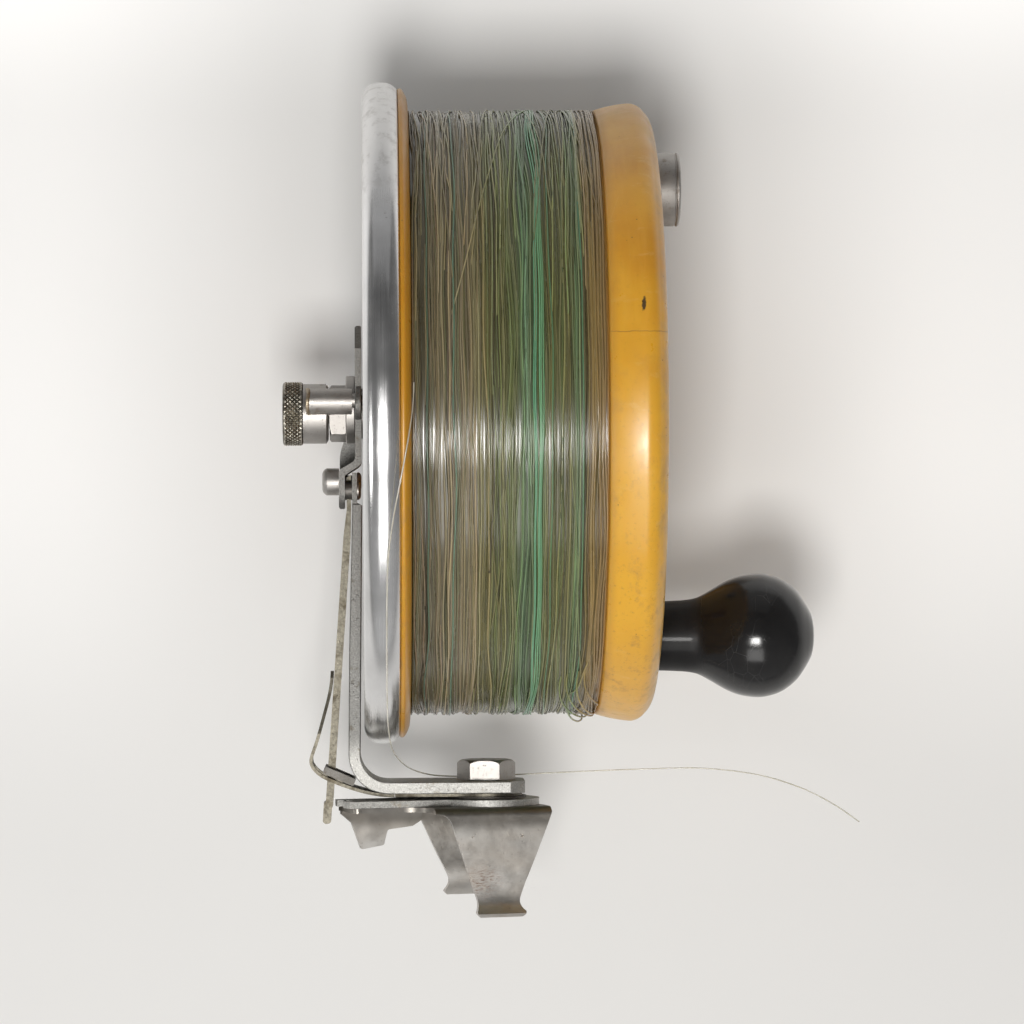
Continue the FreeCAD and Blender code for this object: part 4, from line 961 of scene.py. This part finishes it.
def tube_mesh(name, paths, sides=5, material=MATS["fishing_line"]):
    """One mesh of tubes; each path also gives its "tube" radius and its "tint"."""
    verts, faces, tints = [], [], []
    base = 0
    side = np.arange(sides)
    next_side = (side + 1) % sides
    cosine, sine = np.cos(TURN * side / sides), np.sin(TURN * side / sides)
    for path in paths:
        points, tangents, normals = path_frame(path)
        across = unit(np.cross(tangents, normals))
        outward = np.cross(across, tangents)
        rings = points[:, None, :] + path["tube"] * (
            cosine[None, :, None] * outward[:, None, :]
            + sine[None, :, None] * across[:, None, :])
        count = len(points)
        verts.append(rings.reshape(-1, 3))
        here = np.arange(count if path.get("closed") else count - 1)
        start = base + here[:, None] * sides
        end = base + ((here + 1) % count)[:, None] * sides
        faces.append(np.stack([start + side, end + side, end + next_side, start + next_side],
                              -1).reshape(-1, 4))
        tints.append(np.tile(np.array([*path["tint"], 1.0]), (count * sides, 1)))
        base += count * sides
    verts, faces, tints = np.concatenate(verts), np.concatenate(faces), np.concatenate(tints)
    verts = verts / 1000 + np.array(ORIGIN)
    mesh = bpy.data.meshes.new(name)
    mesh.vertices.add(len(verts))
    mesh.vertices.foreach_set("co", verts.astype(np.float32).ravel())
    mesh.loops.add(faces.size)
    mesh.loops.foreach_set("vertex_index", faces.astype(np.int32).ravel())
    mesh.polygons.add(len(faces))
    mesh.polygons.foreach_set("loop_start", (np.arange(len(faces)) * 4).astype(np.int32))
    mesh.polygons.foreach_set("loop_total", np.full(len(faces), 4, np.int32))
    mesh.update(calc_edges=True)
    mesh.validate()
    attribute = mesh.color_attributes.new("tint", "FLOAT_COLOR", "POINT")
    attribute.data.foreach_set("color", tints.astype(np.float32).ravel())
    mesh.polygons.foreach_set("use_smooth", [True] * len(mesh.polygons))
    mesh.materials.append(material)
    return link_object(name, mesh)


def wobble(angle, size, harmonics):
    """Smooth periodic noise over one turn."""
    total = np.zeros_like(angle)
    for k in range(1, harmonics + 1):
        total += RNG.normal(0, 1.0 / k) * np.sin(k * angle + RNG.uniform(0, TURN))
    return size * total


def random_tint(darker=0.0):
    """Brightness and slight hue of one strand."""
    bright = float(np.clip(RNG.normal(0.68, 0.19) - darker, 0.24, 1.25))
    hue = RNG.normal(0, 0.05, 3)
    return tuple(float(np.clip(bright * (1 + shift), 0.05, 1.3)) for shift in hue)


def between_flanges(x):
    return np.clip(x, LINE_X0 + 0.25, LINE_X1 - 0.25)


# sideways waves: cycles per turn, cycles along the axis, phase, size
WAVES = [(int(RNG.integers(2, 17)), RNG.uniform(0.5, 1.7) * RNG.choice([-1, 1]),
          RNG.uniform(0, TURN), RNG.uniform(0.08, 0.17)) for _ in range(10)]
TURN_STEPS = 120


def crowd(x0, angle):
    """Shared sideways drift, so that neighbouring turns bunch and part together."""
    return sum(size * np.sin(round_k * angle + along_k * x0 + phase)
               for round_k, along_k, phase, size in WAVES)


def dense_turns():
    """Closed turns side by side."""
    count = 158
    angle = np.linspace(0, TURN, TURN_STEPS, endpoint=False)
    paths = []
    for i in range(count):
        x0 = (LINE_X0 + 0.3 + (LINE_X1 - LINE_X0 - 0.6) * (i + 0.5) / count
              + RNG.normal(0, 0.12))
        x = between_flanges(x0 + wobble(angle, 0.12, 9) + crowd(x0, angle)
                            + RNG.normal(0, 0.42) * np.sin(angle + RNG.uniform(0, 6.28)))
        radius = 75.12 + RNG.uniform(-0.20, 0.18) + wobble(angle, 0.06, 6)
        paths.append(dict(angle=angle, x=x, radius=radius, tube=RNG.choice([0.19, 0.22, 0.25]),
                          tint=random_tint(darker=0.06), closed=True))
    return paths


def strand(x0, x1, angle0, angle1, tube, lift=0.0, tint=None, waver=0.10):
    """A loose strand over the turns; both its ends dive under them."""
    count = max(10, int(abs(angle1 - angle0) / TURN * (TURN_STEPS * 0.9)))
    along = np.linspace(0, 1, count)
    angle = angle0 + (angle1 - angle0) * along
    x = x0 + (x1 - x0) * along
    x = x + wobble(TURN * along, waver, 3) * np.sin(np.pi * along) + crowd(x0, angle) * 0.8
    # rises out of the pack over the first and last 3.2 mm
    rise = np.clip(np.minimum(along, 1 - along) * abs(angle1 - angle0) * LINE_R / 3.2, 0, 1)
    rise = rise * rise * (3 - 2 * rise)
    radius = 74.9 + rise * (0.72 + lift) + wobble(TURN * along, 0.03, 3)
    return dict(angle=angle, x=between_flanges(x), radius=radius, tube=tube,
                tint=tint or random_tint())


# strands crossing the near side: x and z at one end, x and z at the other, brightness
CROSSINGS = [
    (4.2, 75.4, -11.5, 40.0, 1.05), (9.5, 74.5, 5.0, 52.0, 0.75), (-6.0, 75.0, -10.0, 50.0, 0.80),
    (14.5, 74.5, 12.0, 50.0, 0.9), (-15.5, 75.0, -18.0, 52.0, 0.8),
    (-20.5, 74.5, -17.0, 44.0, 0.7), (1.5, 75.6, 6.5, 58.0, 0.9), (12.5, 75.2, 17.0, 55.0, 0.8),
    (-2.0, 5.0, -5.0, -38.0, 0.65), (12.0, -22.0, 14.5, -58.0, 0.8)]
# bright aqua turns: x, brightness
AQUA_TURNS = [(2.6, 1.0), (3.0, 1.1), (3.4, 1.15), (3.8, 1.1), (4.3, 0.95), (6.6, 0.7),
              (13.9, 0.7), (-16.2, 0.65), (-22.6, 0.55)]


def loose_strands():
    paths = []
    # strands for part of a turn, some at a steeper slant
    for _ in range(96):
        x0 = RNG.uniform(LINE_X0 + 0.6, LINE_X1 - 0.6)
        span = RNG.uniform(70, 250) * DEG
        start = RNG.uniform(0, TURN)
        slant = RNG.normal(0, 0.9) + RNG.choice([0, 0, 0, 3.0, -3.0])
        paths.append(strand(x0, x0 + slant, start, start + span,
                            tube=RNG.choice([0.17, 0.20, 0.24])))
    overrun = 16 * DEG
    for x0, z0, x1, z1, bright in CROSSINGS:
        angle0, angle1 = math.asin(z0 / LINE_R), math.asin(z1 / LINE_R)
        slope = (x1 - x0) / (angle1 - angle0)
        extra = overrun if angle0 > angle1 else -overrun
        paths.append(strand(x0 + slope * extra, x1 - slope * extra, angle0 + extra,
                            angle1 - extra, tube=0.19, lift=0.22, waver=0.05,
                            tint=(bright, bright * 0.99, bright * 0.97)))
    # a fan of slanting strands over the top of the coil, tinted brighter as a painted sheen of the light from
    # above
    for _ in range(56):
        x0 = RNG.uniform(LINE_X0 + 1.0, LINE_X1 - 1.0)
        start = RNG.uniform(52, 96) * DEG
        paths.append(strand(x0, x0 + RNG.normal(0.0, 1.5), start,
                            start - RNG.uniform(22, 55) * DEG, tube=RNG.choice([0.18, 0.21]),
                            lift=RNG.uniform(0.05, 0.3), waver=0.22,
                            tint=random_tint(darker=-0.28)))
    for x0, bright in AQUA_TURNS:
        start = RNG.uniform(2.4, 3.4)
        paths.append(strand(x0 + RNG.normal(0, 0.25), x0 + 0.8 + RNG.normal(0, 0.25), start,
                            start + 5.3, tube=0.21, lift=0.12, waver=0.16,
                            tint=(0.66 * bright, 1.16 * bright, 1.34 * bright)))
    # amber-brown turns crowded against the +X flange
    for i in range(9):
        x0 = LINE_X1 - 0.45 - 0.42 * i + RNG.normal(0, 0.1)
        start = RNG.uniform(0, 6.28)
        paths.append(strand(x0, x0 - abs(RNG.normal(0, 0.5)), start,
                            start + RNG.uniform(3.5, 6.0), tube=0.26,
                            lift=RNG.uniform(0, 0.15), tint=(0.80, 0.72, 0.60)))
    return paths


def line_bed():
    """Bed under the turns, painted dark as the shade between them, ridged so that no gap shows through."""
    ridges = 92
    outline = [(LINE_X0 + 0.05, BED_R0)]
    for i in range(ridges + 1):
        outline.append((LINE_X0 + 0.05 + (LINE_X1 - LINE_X0 - 0.1) * i / ridges,
                        75.0 if i % 2 else 75.18))
    outline += [(LINE_X1 + 0.02, 75.55), (LINE_X1 + 0.17, 75.4), (LINE_X1 + 0.17, BED_R0)]
    return lathe("line_bed", outline, nylon_line("nylon_line_bed", stranded=False),
                 segments=192, smooth=80)


# slack loops: x at start and end, middle angle and half span in degrees, drop, tint
SLACK_LOOPS = [
    (19.6, 12.2, -73.0, 15, 2.1, (0.95, 0.9, 0.7)), (19.3, 14.8, -70.0, 12, 2.9, (1.0, 0.95, 0.75)),
    (18.4, 10.6, -77.0, 17, 1.5, (0.8, 0.95, 0.7)), (19.8, 16.6, -66.0, 10, 1.9, (0.9, 0.85, 0.7)),
    (17.2, 13.0, -81.0, 14, 2.3, (0.85, 0.85, 0.65)), (12.5, 17.8, -60.0, 9, 1.3, (0.9, 0.9, 0.8))]


def slack_loops():
    """Loops sprung off the bottom of the coil, beside the +X flange."""
    along = np.linspace(0, 1, 44)
    arch = np.sin(np.pi * along)
    paths = []
    for x0, x1, middle, half, drop, tint in SLACK_LOOPS:
        x = (x0 + (x1 - x0) * (0.5 - 0.5 * np.cos(np.pi * along))
             + 0.8 * np.sin(2 * np.pi * along))
        # the clip keeps the far end, a hair below zero, valid for the power
        radius = 75.1 + drop * np.clip(arch, 0, None) ** 1.3 + 0.5 * arch
        paths.append(dict(angle=(middle - half + 2 * half * along) * DEG, x=x, radius=radius,
                          tube=0.22, tint=tint))
    return paths


# the free end (x, y, z): off the coil, over the guard, behind the pivot bolt, out towards +X
TAIL_POINTS = [
    (-25.2, -76.3, 4.5), (-25.35, -76.9, 1.0), (-25.75, -78.9, -3.0), (-26.5, -81.6, -8.0),
    (-27.4, -81.6, -13.0), (-28.6, -80.9, -19.0), (-30.3, -78.9, -28.0), (-31.4, -75.4, -37.0),
    (-31.7, -68.0, -49.5), (-31.7, -57.5, -61.3), (-31.6, -45.2, -71.0), (-31.2, -32.5, -78.3),
    (-30.0, -19.5, -84.0), (-26.4, -8.0, -88.4), (-20.6, 2.0, -90.9), (-13.5, 8.0, -91.7),
    (-5.0, 9.0, -91.6), (4.0, 8.6, -91.3), (18.0, 8.0, -90.7), (33.0, 7.0, -90.2),
    (48.0, 6.0, -90.0), (62.0, 4.0, -91.6), (73.0, 1.0, -94.9), (81.0, -2.0, -99.0),
    (87.0, -4.0, -103.2)]

winding = [tube_mesh("line_turns", dense_turns()), tube_mesh("line_over", loose_strands()),
           line_bed(), tube_mesh("line_loops", slack_loops(), sides=7)]
for ob in winding:
    register(ob, "spool", replaces="line_winding")
tail = tube_mesh("line_tail", [dict(points=spline(TAIL_POINTS, 9), tube=0.17, tint=(1, 1, 1))],
                 sides=8, material=nylon_tail())
register(tail, "frame")

# =================================================================== stage
# metres
WALL_Y = ORIGIN.y + 0.0834          # pale surface close behind the object
FLOOR_Z = ORIGIN.z - 0.1264
PAPER_HALF = 3


def paper_material(name, is_floor):
    """Pale paper, clear from behind; the floor also clears at a grazing view."""
    mat = new_shader(name)
    geometry = mat.node("ShaderNodeNewGeometry").outputs
    position = mat.vector("SUBTRACT", geometry["Position"], tuple(ORIGIN))
    tone = mat.patches(position, scale=14, span=(0.3, 0.7), to=(0.985, 1))
    col = mat.multiply((0.80, 0.795, 0.785), mat.combine(tone, tone, tone))
    hide = geometry["Backfacing"]
    if is_floor:
        glow = 0.45
        # seen almost edge-on the floor would only be a line, so it fades out
        facing = mat.node("ShaderNodeVectorMath", {0: geometry["Incoming"], 1: (0, 0, 1)},
                          operation="DOT_PRODUCT").outputs["Value"]
        graze = mat.fade(facing, span=(0.13, 0.20), to=(1, 0))
        # the lights stand low: only the camera meets the floor, light passes it
        camera_ray = mat.node("ShaderNodeLightPath").outputs["Is Camera Ray"]
        hide = mat.highest(hide, mat.highest(graze, mat.sub(1.0, camera_ray)))
    else:
        # painted light: the backdrop glows a little, more away from the object and upward, so it stays pale and is
        # painted darker round the object
        x, _, z = mat.split(position)
        up = mat.fade(z, span=(-0.12, 0), smooth=True)
        right = mat.fade(x, span=(0.045, 0.13), to=(0, 0.21), smooth=True)
        left = mat.fade(x, span=(-0.045, -0.13), to=(0, 0.19), smooth=True)
        high = mat.fade(z, span=(0.080, 0.13), to=(0, 0.17), smooth=True)
        glow = mat.add(mat.add(mat.add(mat.mul(right, up), mat.mul(left, up)), high), 0.02)
    surface = mat.node("ShaderNodeBsdfPrincipled", {
        "Base Color": col, "Roughness": 0.9, "Specular IOR Level": 0.1,
        "Emission Color": (1.0, 0.99, 0.975), "Emission Strength": glow})
    clear = mat.node("ShaderNodeBsdfTransparent")
    mixed = mat.node("ShaderNodeMixShader", {0: hide, 1: surface.outputs[0],
                                             2: clear.outputs[0]})
    mat.put(mat.output.inputs[0], mixed.outputs[0])
    return mat.owner


def make_paper(name, corners, is_floor=False):
    mesh = bpy.data.meshes.new(name)
    mesh.from_pydata(corners, [], [(0, 1, 2, 3)])
    mesh.update()
    ob = link_object(name, mesh)
    mesh.materials.append(paper_material(name, is_floor))


def make_papers():
    x0, x1 = ORIGIN.x - PAPER_HALF, ORIGIN.x + PAPER_HALF
    z0, z1 = ORIGIN.z - PAPER_HALF, ORIGIN.z + PAPER_HALF
    near_y = ORIGIN.y - PAPER_HALF
    make_paper("paper_back", [(x0, WALL_Y, z0), (x1, WALL_Y, z0), (x1, WALL_Y, z1),
                              (x0, WALL_Y, z1)])
    make_paper("paper_floor", [(x0, near_y, FLOOR_Z), (x1, near_y, FLOOR_Z),
                               (x1, WALL_Y, FLOOR_Z), (x0, WALL_Y, FLOOR_Z)], is_floor=True)


# upward part of the view direction (-1 down, 1 up), brightness
SKY_NEAR = [(-1.0, 0.36), (-0.6, 0.38), (-0.25, 0.28), (0.0, 0.18), (0.30, 0.14),
            (0.60, 0.08), (0.82, 0.05), (0.94, 0.16), (1.0, 0.24)]
SKY_SIDES = [(-1.0, 0.55), (-0.8, 0.40), (-0.2, 0.21), (0.3, 0.155), (0.7, 0.19), (1.0, 0.26)]


def make_world():
    """Soft grey surroundings, darker on the near side; the camera sees a plain pale tone."""
    scene.world = bpy.data.worlds.new("studio")
    sky = Shader(scene.world, "ShaderNodeOutputWorld")
    _, y, z = sky.split(sky.node("ShaderNodeTexCoord").outputs["Generated"])

    def gradient(stops):
        return sky.ramp(sky.fade(z, span=(-1, 1)),
                        [((up + 1) / 2, (grey, grey * 0.992, grey * 0.98))
                         for up, grey in stops])

    lit = sky.mix(sky.fade(y, span=(-0.15, -0.65)), gradient(SKY_SIDES), gradient(SKY_NEAR))
    camera_ray = sky.node("ShaderNodeLightPath").outputs["Is Camera Ray"]
    colour = sky.mix(camera_ray, lit, (0.80, 0.797, 0.79))
    background = sky.node("ShaderNodeBackground", {0: colour, 1: 1.0})
    sky.put(sky.output.inputs[0], background.outputs[0])


def direction(azimuth, elevation):
    """Unit vector; azimuth 0 is -Y and grows towards +X, in degrees."""
    azimuth, elevation = math.radians(azimuth), math.radians(elevation)
    return Vector((math.sin(azimuth) * math.cos(elevation),
                   -math.cos(azimuth) * math.cos(elevation), math.sin(elevation)))


def area_light(name, location, aim, size, power, colour):
    light = bpy.data.lights.new(name, "AREA")
    light.energy = power
    light.color = colour
    light.shape = "SQUARE"
    light.size = size
    ob = bpy.data.objects.new(name, light)
    ob.location = location
    ob.rotation_euler = (aim - location).to_track_quat("-Z", "Y").to_euler()
    scene.collection.objects.link(ob)


def make_lights():
    aim = point(0, 0, -10)
    area_light("key", aim + direction(-4, -12) * 1.15, aim, size=0.21, power=7.9,
               colour=(1.0, 0.985, 0.96))
    area_light("panel", aim + direction(-4, -38) * 1.25, aim, size=0.50, power=2.6,
               colour=(1.0, 0.985, 0.965))
    area_light("left", aim + direction(-66, -10) * 1.10, aim, size=0.30, power=1.5,
               colour=(1.0, 0.985, 0.96))
    area_light("top", point(-40, -160, 800), point(0, 30, 0), size=1.1, power=0.7,
               colour=(1.0, 1.0, 1.0))


def make_camera():
    """Long lens one metre away, a touch left of and below square on."""
    roll = math.radians(0.3)
    data = bpy.data.cameras.new("cam")
    camera = link_object("cam", data)
    data.sensor_width = 36.0
    data.lens = 139.7
    data.clip_end = 20
    target = point(0.25, 0, -24.9)
    camera.location = target + direction(azimuth=-2.1, elevation=-0.6)
    aimed = (target - camera.location).to_track_quat("-Z", "Y")
    camera.rotation_mode = "QUATERNION"
    camera.rotation_quaternion = aimed @ Matrix.Rotation(-roll, 4, "Z").to_quaternion()
    scene.camera = camera


make_papers()
make_world()
make_lights()
make_camera()

scene.view_settings.view_transform = "Standard"
scene.view_settings.look = "None"
scene.view_settings.exposure = 0.0
